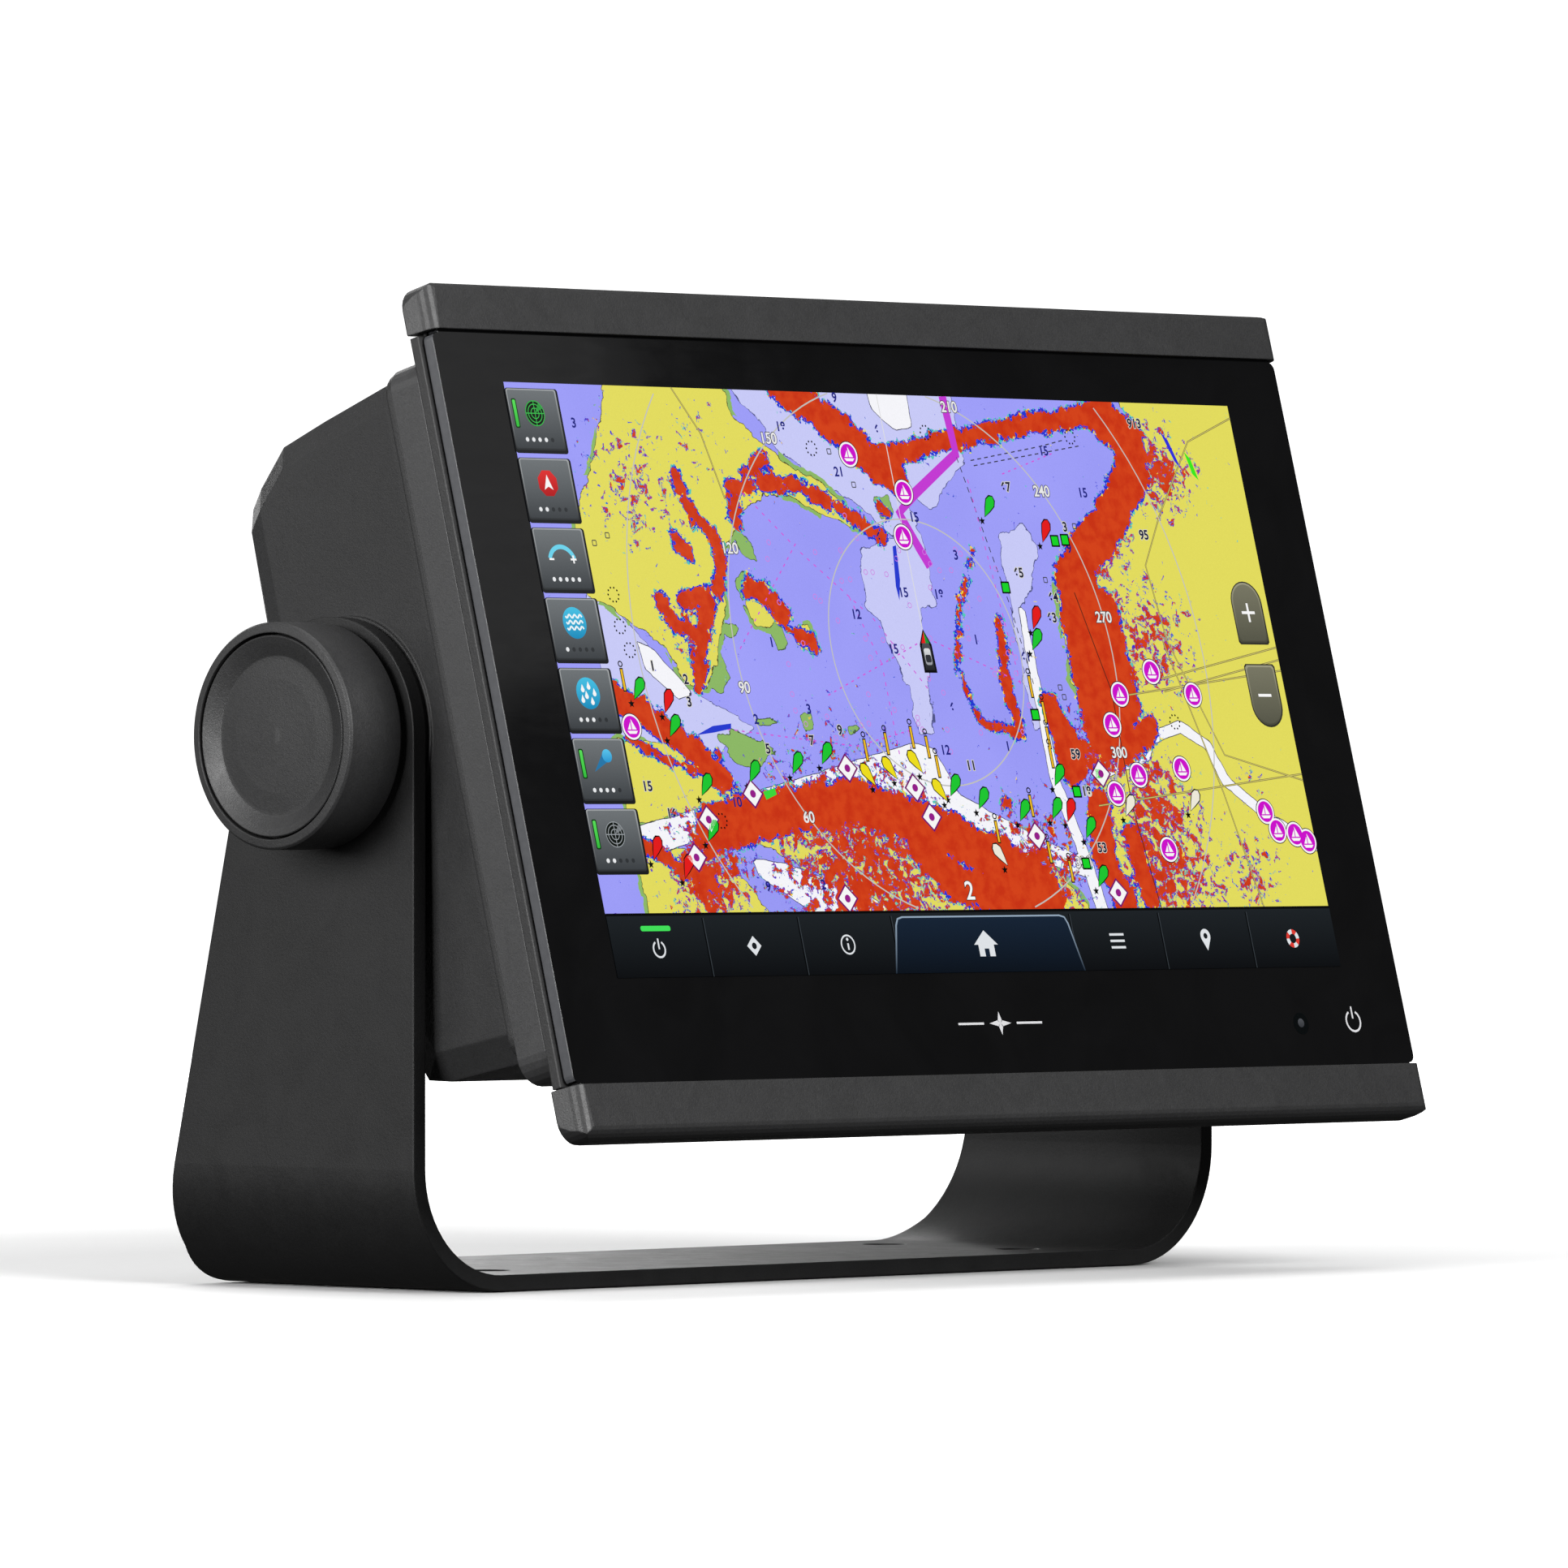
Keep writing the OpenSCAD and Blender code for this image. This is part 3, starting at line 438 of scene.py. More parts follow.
# An invented coast: yellow land, green flats, pale deep water, white fairways and a river
ISLAND = [(215, -20), (455, -20), (470, 45), (560, 108), (640, 150), (752, 228), (640, 192), (560, 165),
          (480, 165), (430, 215), (390, 250), (375, 300), (365, 365), (300, 465), (262, 455), (235, 400),
          (180, 365), (90, 318), (90, 215), (165, 105), (195, 40)]
MAINLAND = [(1320, -20), (1378, 45), (1365, 100), (1300, 160), (1230, 200), (1180, 260), (1112, 290),
            (1100, 450), (1135, 480), (1150, 560), (1130, 590), (1098, 700), (1112, 820), (1610, 820),
            (1610, -20)]
WEST_SHORE = [(90, 540), (200, 545), (300, 600), (345, 636), (250, 642), (90, 668)]
HARBOUR = [(330, 650), (560, 618), (650, 645), (740, 662), (860, 700), (1000, 745), (1060, 820),
           (560, 820), (470, 742), (330, 690)]
SOUTH_WEST = [(90, 720), (180, 700), (300, 745), (360, 820), (90, 820)]
ISLETS = [((455, 330), 34), ((535, 385), 18)]
FLATS = [
    [(430, 205), (455, 240), (462, 262), (440, 262), (425, 235)],
    [(345, 388), (352, 440), (330, 470), (308, 458), (325, 395)],
    [(310, 535), (350, 528), (398, 540), (432, 556), (388, 578), (352, 582), (330, 572)],
    [(465, 362), (490, 358), (498, 392), (474, 398)], [(368, 362), (392, 366), (378, 382), (330, 400)],
    [(497, 500), (512, 498), (514, 520), (500, 522)], [(390, 508), (448, 505), (450, 514), (392, 516)],
    [(592, 520), (616, 516), (614, 526), (592, 528)], [(408, 300), (430, 282), (440, 300), (412, 330)],
    [(412, 330), (440, 350), (492, 358), (470, 366), (420, 352)],
    [(748, 165), (775, 160), (776, 190), (752, 192)],
    [(108, 232), (130, 222), (165, 205), (150, 240), (118, 260)],
]
DEEP = [
    [(470, -20), (960, -20), (960, 95), (880, 172), (822, 165), (832, 240), (838, 330), (800, 335),
     (790, 420), (775, 530), (740, 528), (735, 440), (700, 345), (680, 330), (692, 240), (782, 226),
     (700, 172), (560, 96)],
    [(1003, 214), (1060, 200), (1086, 232), (1050, 300), (1022, 330), (1018, 520), (1002, 520), (998, 330)],
    [(90, 300), (150, 350), (205, 410), (300, 480), (390, 520), (300, 560), (90, 540)],
]
CHANNEL = [
    [(90, 672), (250, 642), (560, 578), (725, 543), (768, 552), (802, 622), (900, 664), (1065, 728),
     (1040, 748), (880, 706), (740, 655), (560, 612), (300, 672), (120, 715)],
    [(330, 720), (400, 728), (560, 775), (640, 820), (470, 820), (340, 745)],
    [(176, 392), (206, 402), (272, 470), (240, 478), (180, 430)],
    [(772, -20), (862, -20), (858, 48), (820, 56), (775, 22)],
    [(1016, 330), (1030, 330), (1034, 600), (1060, 690), (1090, 820), (1062, 820), (1040, 700), (1012, 600)],
]
RIVER = [(1125, 590), (1240, 560), (1255, 535), (1330, 515), (1385, 545), (1410, 600), (1500, 665),
         (1600, 705)]
RIVER_HALF_WIDTH = 9
# Solid radar echoes: a path and half its width
ECHOES = [
    ([(432, 205), (440, 150), (560, 140), (650, 172), (745, 222)], 11), ([(470, 135), (520, 108)], 12),
    ([(325, 140), (342, 195), (380, 225), (385, 262), (366, 312)], 11),
    ([(244, 328), (262, 360), (296, 376)], 13), ([(292, 328), (345, 322), (308, 392), (290, 450)], 14),
    ([(438, 306), (468, 318), (494, 348)], 17), ([(524, 378), (546, 388)], 12),
    ([(300, 235), (318, 252)], 11),
    ([(585, -10), (690, 52), (760, 108), (800, 128)], 27),
    ([(790, 98), (930, 70), (1080, 45), (1290, 18)], 15),
    ([(1290, 22), (1344, 60), (1338, 112), (1250, 200), (1150, 275)], 34),
    ([(760, 180), (768, 184)], 10),
    ([(1160, 300), (1160, 420), (1162, 520)], 50), ([(1208, 330), (1215, 480)], 34),
    ([(1046, 480), (1060, 530), (1060, 590)], 20), ([(1075, 530), (1085, 580)], 18),
    ([(1180, 560), (1260, 520)], 20),
    ([(100, 472), (180, 512), (262, 562), (300, 600)], 21), ([(120, 540), (250, 590), (300, 560)], 6),
    ([(255, 672), (400, 650), (570, 632), (720, 668), (860, 720), (960, 778)], 34),
    ([(110, 700), (240, 760)], 10),
    ([(700, 700), (760, 760), (900, 790)], 30), ([(1110, 640), (1100, 720), (1130, 800)], 24),
    ([(940, 242), (912, 288), (885, 330), (866, 380), (860, 440), (868, 488), (905, 522)], 2.5),
    ([(966, 350), (962, 400), (955, 470), (972, 528)], 8), ([(1170, 690), (1185, 780)], 20),
    ([(915, 515), (960, 526)], 6), ([(905, 630), (912, 634)], 6),
]
# Scattered radar echoes: middle, radius and how thick they lie
SCATTER = [((240, 150), 150, 0.5), ((1300, 380), 130, 0.75), ((1400, 110), 95, 0.9), ((560, 740), 260, 1.0),
           ((1240, 640), 130, 0.85), ((380, 90), 90, 0.4), ((940, 740), 150, 0.95), ((1240, 740), 160, 0.85),
           ((1430, 750), 90, 0.6), ((1250, 240), 80, 0.6), ((230, 740), 120, 1.0), ((1480, 620), 60, 0.3),
           ((1120, 560), 90, 0.9), ((290, 380), 70, 0.6)]


OUTLINE_WIDTH = 0.16
BEACH_WIDTH = 1.1
WEAK_ECHO_WIDTH = 0.55


def chart_fields():
    """The chart's grid and, at each of its points, how far inside each kind of ground it lies, in mm."""
    xs = np.append(np.arange(0, PICTURE_W, CHART_GRID), PICTURE_W).astype(float)
    ys = np.append(np.arange(0, MAP_H, CHART_GRID), MAP_H).astype(float)
    x, y = np.meshgrid(xs, ys)

    def inside_any(outlines):
        return [polygon_distance(x, y, outline) for outline in outlines]

    islets = [r - np.hypot(x - c[0], y - c[1]) for c, r in ISLETS]
    scatter = [share * (1.2 - np.hypot(x - c[0], y - c[1]) / r) for c, r, share in SCATTER]
    parts = {
        "land": inside_any((ISLAND, MAINLAND, WEST_SHORE, HARBOUR, SOUTH_WEST)) + islets,
        "flats": inside_any(FLATS),
        "channel": inside_any(CHANNEL) + [ribbon(x, y, RIVER, RIVER_HALF_WIDTH)],
        "deep": inside_any(DEEP),
        "echo": [ribbon(x, y, path, half) for path, half in ECHOES],
    }
    fields = {key: np.maximum.reduce(layers) for key, layers in parts.items()}
    fields["scatter"] = np.maximum.reduce(scatter) * DOTS_PER_MM
    return xs, ys, {key: v.ravel() / DOTS_PER_MM for key, v in fields.items()}


def chart_material():
    """Ground colours with rough outlines, under red echoes with blue, green and yellow edges."""
    s = Shader("chart_picture")
    kinds = ("land", "flats", "deep", "channel", "echo", "scatter")
    field = {key: s.attribute(key).outputs["Fac"] for key in kinds}
    coast = s.spread(s.noise(5, 5, 0.6), 0, 1, -2.2, 2.2)
    ragged = s.math("ADD", s.spread(s.noise(3.2, 3, 0.4), 0.25, 0.75, -1.1, 1.1),
                    s.spread(s.noise(0.9, 3, 0.3), 0.25, 0.75, -0.8, 0.8))
    specks = s.math("ADD", s.spread(s.noise(2.0, 4, 0.5, roughness=0.7), 0, 1, -7, 7),
                    s.spread(field["scatter"], 0, 1, -3.2, 0.9))

    def over(key, rough, base, colour, edge_colour):
        depth = s.math("ADD", field[key], rough)
        base = s.mix(s.math("GREATER_THAN", depth, -OUTLINE_WIDTH), base, edge_colour)
        return s.mix(s.math("GREATER_THAN", depth, 0), base, colour)

    picture = s.mix(s.spread(s.noise(30, 2), 0.3, 0.7), srgb(156, 156, 250), srgb(164, 164, 255))
    picture = over("deep", coast, picture, srgb(204, 206, 252), srgb(84, 88, 140))
    picture = over("flats", coast, picture, srgb(143, 188, 104), srgb(70, 92, 60))
    shore = s.math("ADD", field["land"], coast)
    fringe = s.math("MULTIPLY", s.math("GREATER_THAN", shore, -BEACH_WIDTH),
                    s.math("GREATER_THAN", s.noise(11, 3), 0.5))
    picture = s.mix(fringe, picture, srgb(143, 188, 104))
    picture = over("land", coast, picture, srgb(231, 224, 96), srgb(84, 78, 46))
    smooth = s.math("MULTIPLY", coast, 0.25)
    picture = over("channel", smooth, picture, srgb(250, 250, 255), srgb(66, 66, 90))
    strength = s.math("MAXIMUM", s.math("ADD", field["echo"], ragged), specks)
    weak = s.mix(s.math("GREATER_THAN", s.noise(0.9, 2), 0.56), srgb(36, 56, 214), srgb(86, 206, 190))
    weak = s.mix(s.math("GREATER_THAN", s.noise(1.2, 2), 0.63), weak, srgb(244, 220, 70))
    picture = s.mix(s.math("GREATER_THAN", strength, -WEAK_ECHO_WIDTH), picture, weak)
    strong = s.mix(s.spread(s.noise(2.4, 4), 0.35, 0.6), srgb(204, 52, 20), srgb(216, 68, 26))
    picture = s.mix(s.math("GREATER_THAN", strength, 0), picture, strong)
    s.set(Base_Color=(0, 0, 0, 1), Roughness=0.12, Specular_IOR_Level=0.3,
          Emission_Color=picture, Emission_Strength=s.spread(s.noise(0.25, 1), 0.2, 0.8, 0.92, 0.98))
    return s.material


def add_chart():
    xs, ys, fields = chart_fields()
    points = [in_part(x, y, LAYER_STEP) for y in ys for x in xs]
    w = len(xs)
    faces = [(j * w + i, j * w + i + 1, (j + 1) * w + i + 1, (j + 1) * w + i)
             for j in range(len(ys) - 1) for i in range(w - 1)]
    mesh = bpy.data.meshes.new("screen_chart")
    mesh.from_pydata(points, [], faces)
    for key, values in fields.items():
        mesh.attributes.new(key, "FLOAT", "POINT").data.foreach_set("value", values)
    return placed("screen_chart", mesh, chart_material())


# ---- symbols over the chart ----

GREEN = (24, 214, 40)
RED = (230, 28, 28)
BLACK = (12, 12, 14)
WHITE = (250, 250, 250)
NAVY = (30, 34, 130)
PRINT_GREY = (188, 188, 190)
ICON = (226, 230, 234)
BOAT = (794, 402)
BEARING_RING = 415
RANGE_RINGS = (207, BEARING_RING, 622)
KEY_COLUMN_W = 104
KEY_PITCH = 105.7

MARINAS = [(706, 96), (812, 153), (791, 223), (129, 520), (1207, 465), (1289, 429), (1374, 465),
           (1176, 513), (1213, 592), (1314, 582), (1154, 621), (1248, 709), (1487, 650), (1507, 680),
           (1546, 686), (1572, 697)]
DIAMONDS = [(570, 582), (709, 612), (733, 657), (357, 621), (957, 687), (253, 660), (212, 717),
            (516, 781), (1114, 776), (1128, 590)]
GREEN_FLARES = [(998, 168), (1046, 376), (467, 570), (534, 555), (372, 583), (162, 458), (222, 514),
                (265, 603), (857, 624), (943, 643), (1016, 640), (1083, 670), (1089, 746), (1036, 588),
                (260, 672), (800, 604)]
RED_FLARES = [(1117, 206), (1057, 343), (221, 478), (1049, 644), (138, 700), (196, 728)]
YELLOW_FLARES = [(640, 588), (690, 578), (748, 568), (790, 612)]
SQUARES = [(997, 299), (1007, 498), (1129, 224), (1152, 222), (1066, 618), (1123, 590), (1055, 730)]
BEACONS = [(618, 550), (666, 540), (724, 530), (754, 545), (768, 575), (1009, 450), (1028, 490),
           (1026, 530), (1024, 560), (871, 676), (978, 708), (1018, 738), (958, 636), (130, 445)]
SHOALS = [(628, 88), (886, 58), (1210, 58), (156, 404), (145, 368), (144, 320), (280, 662), (1320, 508)]
PILES = [(665, 92), (705, 143), (1090, 286), (1075, 455), (1080, 470), (1180, 200), (125, 242), (155, 230)]


def range_rings(art):
    """Rings around the boat with bearings on the middle one, and the heading line."""
    for radius in RANGE_RINGS:
        for a in range(0, 360, 3):
            ring = circle(*BOAT, radius, a, a + 3, 1)
            if all(KEY_COLUMN_W < x < PICTURE_W and 0 < y < MAP_H for x, y in ring):
                art.line(ring, 2.2, (196, 196, 190), 1)
    for i in range(1, 12):
        angle = math.radians(i * 30 - 98)
        x, y = BOAT[0] + BEARING_RING * math.cos(angle), BOAT[1] + BEARING_RING * math.sin(angle)
        if 130 < x < PICTURE_W and 15 < y < MAP_H - 15:
            art.number((180 + i * 30) % 360, x, y, 24, (236, 236, 236), 4, halo=(50, 50, 54))
    art.line([BOAT, (BOAT[0], 0)], 1.6, (224, 224, 224), 1)


def long_targets(art):
    """Slim strokes left on the chart by fast or distant targets."""
    for outline, colour in (([(764, 238), (772, 236), (766, 290), (756, 322), (754, 300)], (40, 60, 210)),
                            ([(262, 532), (300, 518), (340, 514), (338, 522), (300, 528)], (40, 60, 210)),
                            ([(1420, 45), (1434, 58), (1452, 104), (1440, 92)], (50, 50, 220)),
                            ([(1466, 76), (1478, 88), (1488, 122), (1476, 112)], (60, 236, 30)),
                            ([(380, 618), (406, 612), (408, 622), (384, 630)], (60, 220, 60))):
        art.shape(outline, colour, 2)


def lanes(art):
    """Cable areas, fairway edges, roads and the planned track."""
    art.line([(940, 0), (945, 90), (835, 155), (794, 185), (822, 240), (838, 268)], 17, (198, 60, 214), 1)
    for path in ([(945, 95), (1000, 330), (1020, 470)], [(975, 100), (1135, 75), (1210, 60)],
                 [(980, 108), (1240, 70)]):
        art.dashes(path, 1.8, (60, 60, 70), 1)
    for path in ([(460, 160), (560, 250), (690, 350), (790, 470)], [(560, 470), (800, 380), (1010, 455)],
                 [(690, 560), (690, 420), (640, 300)], [(1040, 120), (1180, 80)], [(390, 400), (560, 230)],
                 [(300, 520), (600, 548), (740, 520)], [(960, 130), (990, 470)]):
        art.dashes(path, 2, (210, 90, 220), 1, 6, 9)
    for path in ([(1590, 20), (1480, 60), (1380, 180), (1325, 260), (1340, 380), (1420, 560), (1590, 600)],
                 [(1310, 440), (1590, 388)], [(1310, 460), (1590, 408)], [(1190, 470), (1590, 425)],
                 [(1330, 380), (1400, 620), (1440, 800)], [(1110, 640), (1590, 590)],
                 [(350, 0), (395, 70), (420, 170)]):
        art.line(path, 3, (122, 112, 70), 1)
        art.line(path, 1.2, (214, 204, 110), 2)
    art.line([(1150, 305), (1190, 460), (1185, 640), (1205, 800)], 2, (96, 40, 26), 2)


def marina(art, x, y):
    """A magenta disc with a white sailing boat."""
    for radius, colour, layer in ((21, (40, 10, 40), 5), (19.6, WHITE, 6), (16.6, (206, 18, 206), 7)):
        art.disc(x, y, radius, colour, layer)
    art.shape([(x, y - 12), (x + 9, y + 4), (x, y + 4)], WHITE, 8)
    art.shape([(x - 2, y - 7), (x - 2, y + 4), (x - 9, y + 4)], WHITE, 8)
    art.shape([(x - 11, y + 6), (x + 11, y + 6), (x + 7, y + 10.5), (x - 7, y + 10.5)], WHITE, 8)


def diamond(art, x, y):
    """A white caution diamond with a magenta heart."""
    for size, colour, layer in ((23, (120, 20, 110), 5), (19, WHITE, 6)):
        art.shape([(x, y - size), (x + size, y), (x, y + size), (x - size, y)], colour, layer)
    art.disc(x, y, 6, (150, 30, 140), 7)


def leaf(art, x, y, colour, lean=38):
    """A lit buoy: a flare that leans to the right above a star."""
    a = math.radians(lean)
    along, side = (math.sin(a), -math.cos(a)), (math.cos(a), math.sin(a))

    def flare(grow):
        profile = [(0 - grow, 0), (14, 5 + grow), (28, 9 + grow), (36 + grow, 6 + grow), (40 + grow, 0)]
        points = profile + [(t, -w) for t, w in reversed(profile[1:-1])]
        return [(x - 16 + along[0] * t + side[0] * w, y + 20 + along[1] * t + side[1] * w)
                for t, w in points]

    art.shape(flare(1.8), BLACK, 5)
    art.shape(flare(0), colour, 6)
    star = [(x - 24 + (7 if i % 2 else 3) * math.sin(i * math.pi / 5),
             y + 27 + (7 if i % 2 else 3) * math.cos(i * math.pi / 5)) for i in range(10)]
    art.shape(star, BLACK, 5)


def beacon(art, x, y, colour):
    """A striped post with a ring on top."""
    art.line([(x, y - 14), (x, y + 22)], 7, BLACK, 5)
    art.line([(x, y - 12), (x, y + 20)], 4, colour, 6)
    art.ring(x, y - 20, 4, 2, BLACK, 6, steps=12)


def square(art, x, y):
    """A green daymark."""
    art.shape(rounded(x - 9.5, y - 9.5, x + 9.5, y + 9.5, 1), BLACK, 5)
    art.shape(rounded(x - 7, y - 7, x + 7, y + 7, 1), GREEN, 6)


def boat(art):
    """The user's own boat, bow up, with red and green bow lights."""
    x, y = BOAT
    hull = [(x, y - 36), (x + 13, y - 12), (x + 14, y + 32), (x - 14, y + 32), (x - 13, y - 12)]
    deck = [(x, y - 30), (x + 9, y - 9), (x + 10, y + 28), (x - 10, y + 28), (x - 9, y - 9)]
    art.shape(hull, BLACK, 6)
    art.shape(deck, (90, 92, 98), 7, foot=(36, 38, 42))
    art.shape([(x, y - 32), (x, y - 14), (x - 9, y - 14)], RED, 8)
    art.shape([(x, y - 32), (x + 9, y - 14), (x, y - 14)], (30, 150, 60), 8)
    art.shape(rounded(x - 7, y - 6, x + 7, y + 20, 4), (226, 228, 230), 8, foot=(150, 152, 158))
    art.shape(rounded(x - 6, y + 4, x + 6, y + 16, 3), (50, 52, 58), 9)


def chart_symbols(art):
    for x, y in MARINAS:
        marina(art, x, y)
    for x, y in DIAMONDS:
        diamond(art, x, y)
    for x, y in GREEN_FLARES:
        leaf(art, x, y, (30, 200, 50))
    for x, y in RED_FLARES:
        leaf(art, x, y, RED, 30)
    for x, y in YELLOW_FLARES:
        leaf(art, x, y, (240, 224, 30), -35)
    for x, y, lean in ((1182, 636, 38), (1332, 628, 38), (895, 712, -35)):
        leaf(art, x, y, (240, 236, 220), lean)
    for x, y in SQUARES:
        square(art, x, y)
    for x, y in BEACONS:
        beacon(art, x, y, (240, 190, 40))
    for x, y in SHOALS:
        for dot_x, dot_y in circle(x, y, 11, steps=10):
            art.disc(dot_x, dot_y, 1.6, BLACK, 4)
    for x, y in PILES:
        art.line(rounded(x - 4, y - 4, x + 4, y + 4, 0.5, 1), 1.6, (70, 70, 74), 4, closed=True)
    rng = np.random.default_rng(7)
    for x, y in rng.uniform((480, 190), (1000, 560), (70, 2)):
        art.ring(x, y, 4, 1.2, (208, 130, 226), 2, steps=10)


def soundings(art):
    """Depths in blue, buoy and spot numbers in black on a pale halo, and the scale of the rings."""
    places = {(570, 56): 18, (700, 8): 9, (780, 56): 6, (678, 124): 21, (824, 192): 15, (900, 250): 3,
              (655, 345): 12, (722, 398): 15, (845, 312): 18, (908, 382): 1, (512, 492): 3, (395, 508): 2,
              (460, 390): 1, (792, 554): 12, (932, 548): 1, (1144, 82): 15, (1214, 147): 15, (1158, 236): 9,
              (130, 60): 3, (768, 310): 15, (738, 224): 6, (320, 634): 10, (352, 762): 9, (470, 760): 2,
              (1012, 408): 61, (826, 488): 6}
    for (x, y), value in places.items():
        art.number(value, x, y, 21, NAVY, 3)
    for value, x, y in ((67, 1042, 141), (65, 1033, 276), (64, 1100, 314), (63, 1088, 346), (3, 1158, 202),
                        (59, 1080, 560), (18, 1088, 618), (53, 1098, 706), (9, 570, 524), (7, 505, 540),
                        (5, 408, 553), (11, 842, 578), (15, 138, 610), (16, 178, 651), (1, 197, 428),
                        (2, 262, 448), (3, 260, 482), (913, 1364, 34), (95, 1335, 212)):
        art.number(value, x, y, 21, (24, 26, 60), 4, halo=(216, 214, 200))
    art.number(2, 784, 772, 40, WHITE, 8, halo=(30, 30, 34))


# ---- buttons and bar ----

def tile(art, x0, y0, x1, y1):
    """A raised grey key with a light upper edge and a dark lower one."""
    art.shape(rounded(x0 - 2, y0 - 1, x1 + 4, y1 + 5, 5), (28, 30, 32), 10)
    art.shape(rounded(x0, y0, x1, y1, 4), (164, 168, 170), 11, foot=(44, 47, 50))
    art.shape(rounded(x0 + 2, y0 + 2, x1 - 3, y1 - 3, 3), (112, 117, 120), 12, foot=(62, 66, 70))


def level_dots(art, x, y, lit):
    """Five dots in a row, of which the first ones are lit."""
    for i in range(5):
        art.disc(x + (i - 2) * 13, y, 3.4, (236, 238, 240) if i < lit else (50, 53, 56), 14)


def waves(art, x, y):
    """Three rows of ripples below y."""
    for row in range(3):
        path = [(x - 17 + 34 * i / 16, y + row * 9 + 2.6 * math.sin(i * math.pi / 2.6)) for i in range(17)]
        art.line(path, 3, (240, 250, 252), 15)


def scope(art, x, y, colour):
    """A small radar scope."""
    art.disc(x, y, 20, (16, 22, 18), 13)
    for r in (8, 14, 19):
        art.ring(x, y, r, 1.4, colour, 14)
    art.line([(x - 19, y), (x + 19, y)], 1.4, colour, 14)
    art.line([(x, y - 19), (x, y + 19)], 1.4, colour, 14)
    art.shape([(x, y), (x + 10, y - 16), (x + 17, y - 8)], tuple(round(v * 0.8) for v in colour), 14)


def key_column(art):
    """Seven keys down the left side: scope, stop, gain, sea, rain, trails and scope."""
    for i in range(7):
        y = 10 + KEY_PITCH * i
        tile(art, 0, y, 103, y + 93)
        if i in (0, 5, 6):
            art.shape(rounded(7, y + 15, 17, y + 60, 3), (20, 60, 24), 13)
            art.shape(rounded(9, y + 17, 15, y + 58, 2), (90, 226, 90), 14, foot=(50, 190, 60))
        level_dots(art, 52, y + 77, (4, 2, 5, 1, 3, 4, 2)[i])
    scope(art, 52, 47, (60, 190, 80))
    art.shape(circle(51, 153, 21, 22.5, 382.5, 8), (226, 48, 48), 13, foot=(178, 22, 26))
    art.shape([(51, 140), (60, 163), (51, 158), (42, 163)], WHITE, 14)
    art.ring(51, 276, 27, 7, (110, 214, 240), 13, 200, 340, 16)
    art.line([(24, 268), (34, 268)], 3, WHITE, 14)
    art.line([(68, 268), (80, 268)], 3, WHITE, 14)
    art.line([(74, 262), (74, 274)], 3, WHITE, 14)
    for y in (364, 470):
        art.disc(51, y, 24, (70, 196, 232), 13, foot=(20, 140, 190))
    waves(art, 51, 354)
    for dx, dy in ((-10, -8), (3, -12), (13, -2), (-4, 2), (-13, 8), (6, 11)):
        x, y = 51 + dx, 470 + dy
        art.shape([(x, y - 6), (x + 4, y + 3), (x - 4, y + 3)], WHITE, 15)
        art.disc(x, y + 3, 3.6, WHITE, 15)
    art.shape([(34, 588), (58, 558), (70, 570)], (40, 120, 170), 13)
    art.disc(65, 564, 10, (90, 200, 240), 14, foot=(40, 150, 210))
    scope(art, 51, 682, (150, 156, 160))


def arch(x0, y0, x1, y1, flipped):
    """A key outline with a round top, or a round foot when flipped."""
    radius = (x1 - x0) / 2
    dome = circle((x0 + x1) / 2, y0 + radius, radius, 180, 360, 14)
    outline = dome + [(x1, y1 - 4), (x1 - 4, y1), (x0 + 4, y1), (x0, y1 - 4)]
    return [(x, y0 + y1 - y) for x, y in outline] if flipped else outline


def zoom_keys(art):
    """Plus and minus keys at the right side."""
    for y0, y1, minus in ((285, 381, False), (417, 513, True)):
        art.shape(arch(1505, y0 - 2, 1576, y1 + 3, minus), (50, 50, 44), 10)
        art.shape(arch(1507, y0, 1573, y1, minus), (158, 156, 132), 11, foot=(72, 72, 60))
        art.shape(arch(1510, y0 + 3, 1570, y1 - 3, minus), (122, 121, 102), 12, foot=(88, 88, 74))
        middle = (y0 + y1) / 2
        art.line([(1525, middle), (1555, middle)], 4.5, WHITE, 13)
        if not minus:
            art.line([(1540, middle - 15), (1540, middle + 15)], 4.5, WHITE, 13)


def bottom_bar(art):
    """The bar under the chart: dividers, a raised middle tab and seven icons."""
    bar = [(0, MAP_H), (PICTURE_W, MAP_H), (PICTURE_W, PICTURE_H), (0, PICTURE_H)]
    art.shape(bar, (30, 35, 39), 10, foot=(12, 14, 17))
    art.line([(0, MAP_H + 2), (PICTURE_W, MAP_H + 2)], 4, (8, 9, 10), 11)
    for x in (198, 399, 599, 992, 1192, 1393):
        art.line([(x, 808), (x, PICTURE_H)], 2, (4, 5, 6), 11)
        art.line([(x + 2.5, 808), (x + 2.5, PICTURE_H)], 1.4, (58, 64, 70), 11)
    tab = [(588, PICTURE_H), (607, 822), (613, 812), (624, 809), (971, 809), (982, 812), (988, 822),
           (1006, PICTURE_H)]
    art.shape(tab, (150, 170, 190), 12, foot=(30, 42, 56))
    inner = [(591, PICTURE_H), (610, 823), (615, 814), (625, 811.5), (970, 811.5), (980, 814), (985, 823),
             (1003, PICTURE_H)]
    art.shape(inner, (22, 36, 54), 13, foot=(10, 18, 28))
    power_icon(art)
    mark_icon(art)
    info_icon(art)
    house_icon(art)
    list_icon(art)
    place_icon(art)
    lifebuoy_icon(art)


def power_icon(art):
    art.shape(rounded(66, 819, 128, 827, 3.5), (66, 226, 90), 13)
    art.ring(97, 854, 12, 3, ICON, 13, -60, 240, 24)
    art.line([(97, 838), (97, 854)], 3, ICON, 14)


def mark_icon(art):
    art.shape([(297, 836), (312, 851), (297, 866), (282, 851)], ICON, 13)
    art.disc(297, 851, 5, (24, 28, 32), 14)


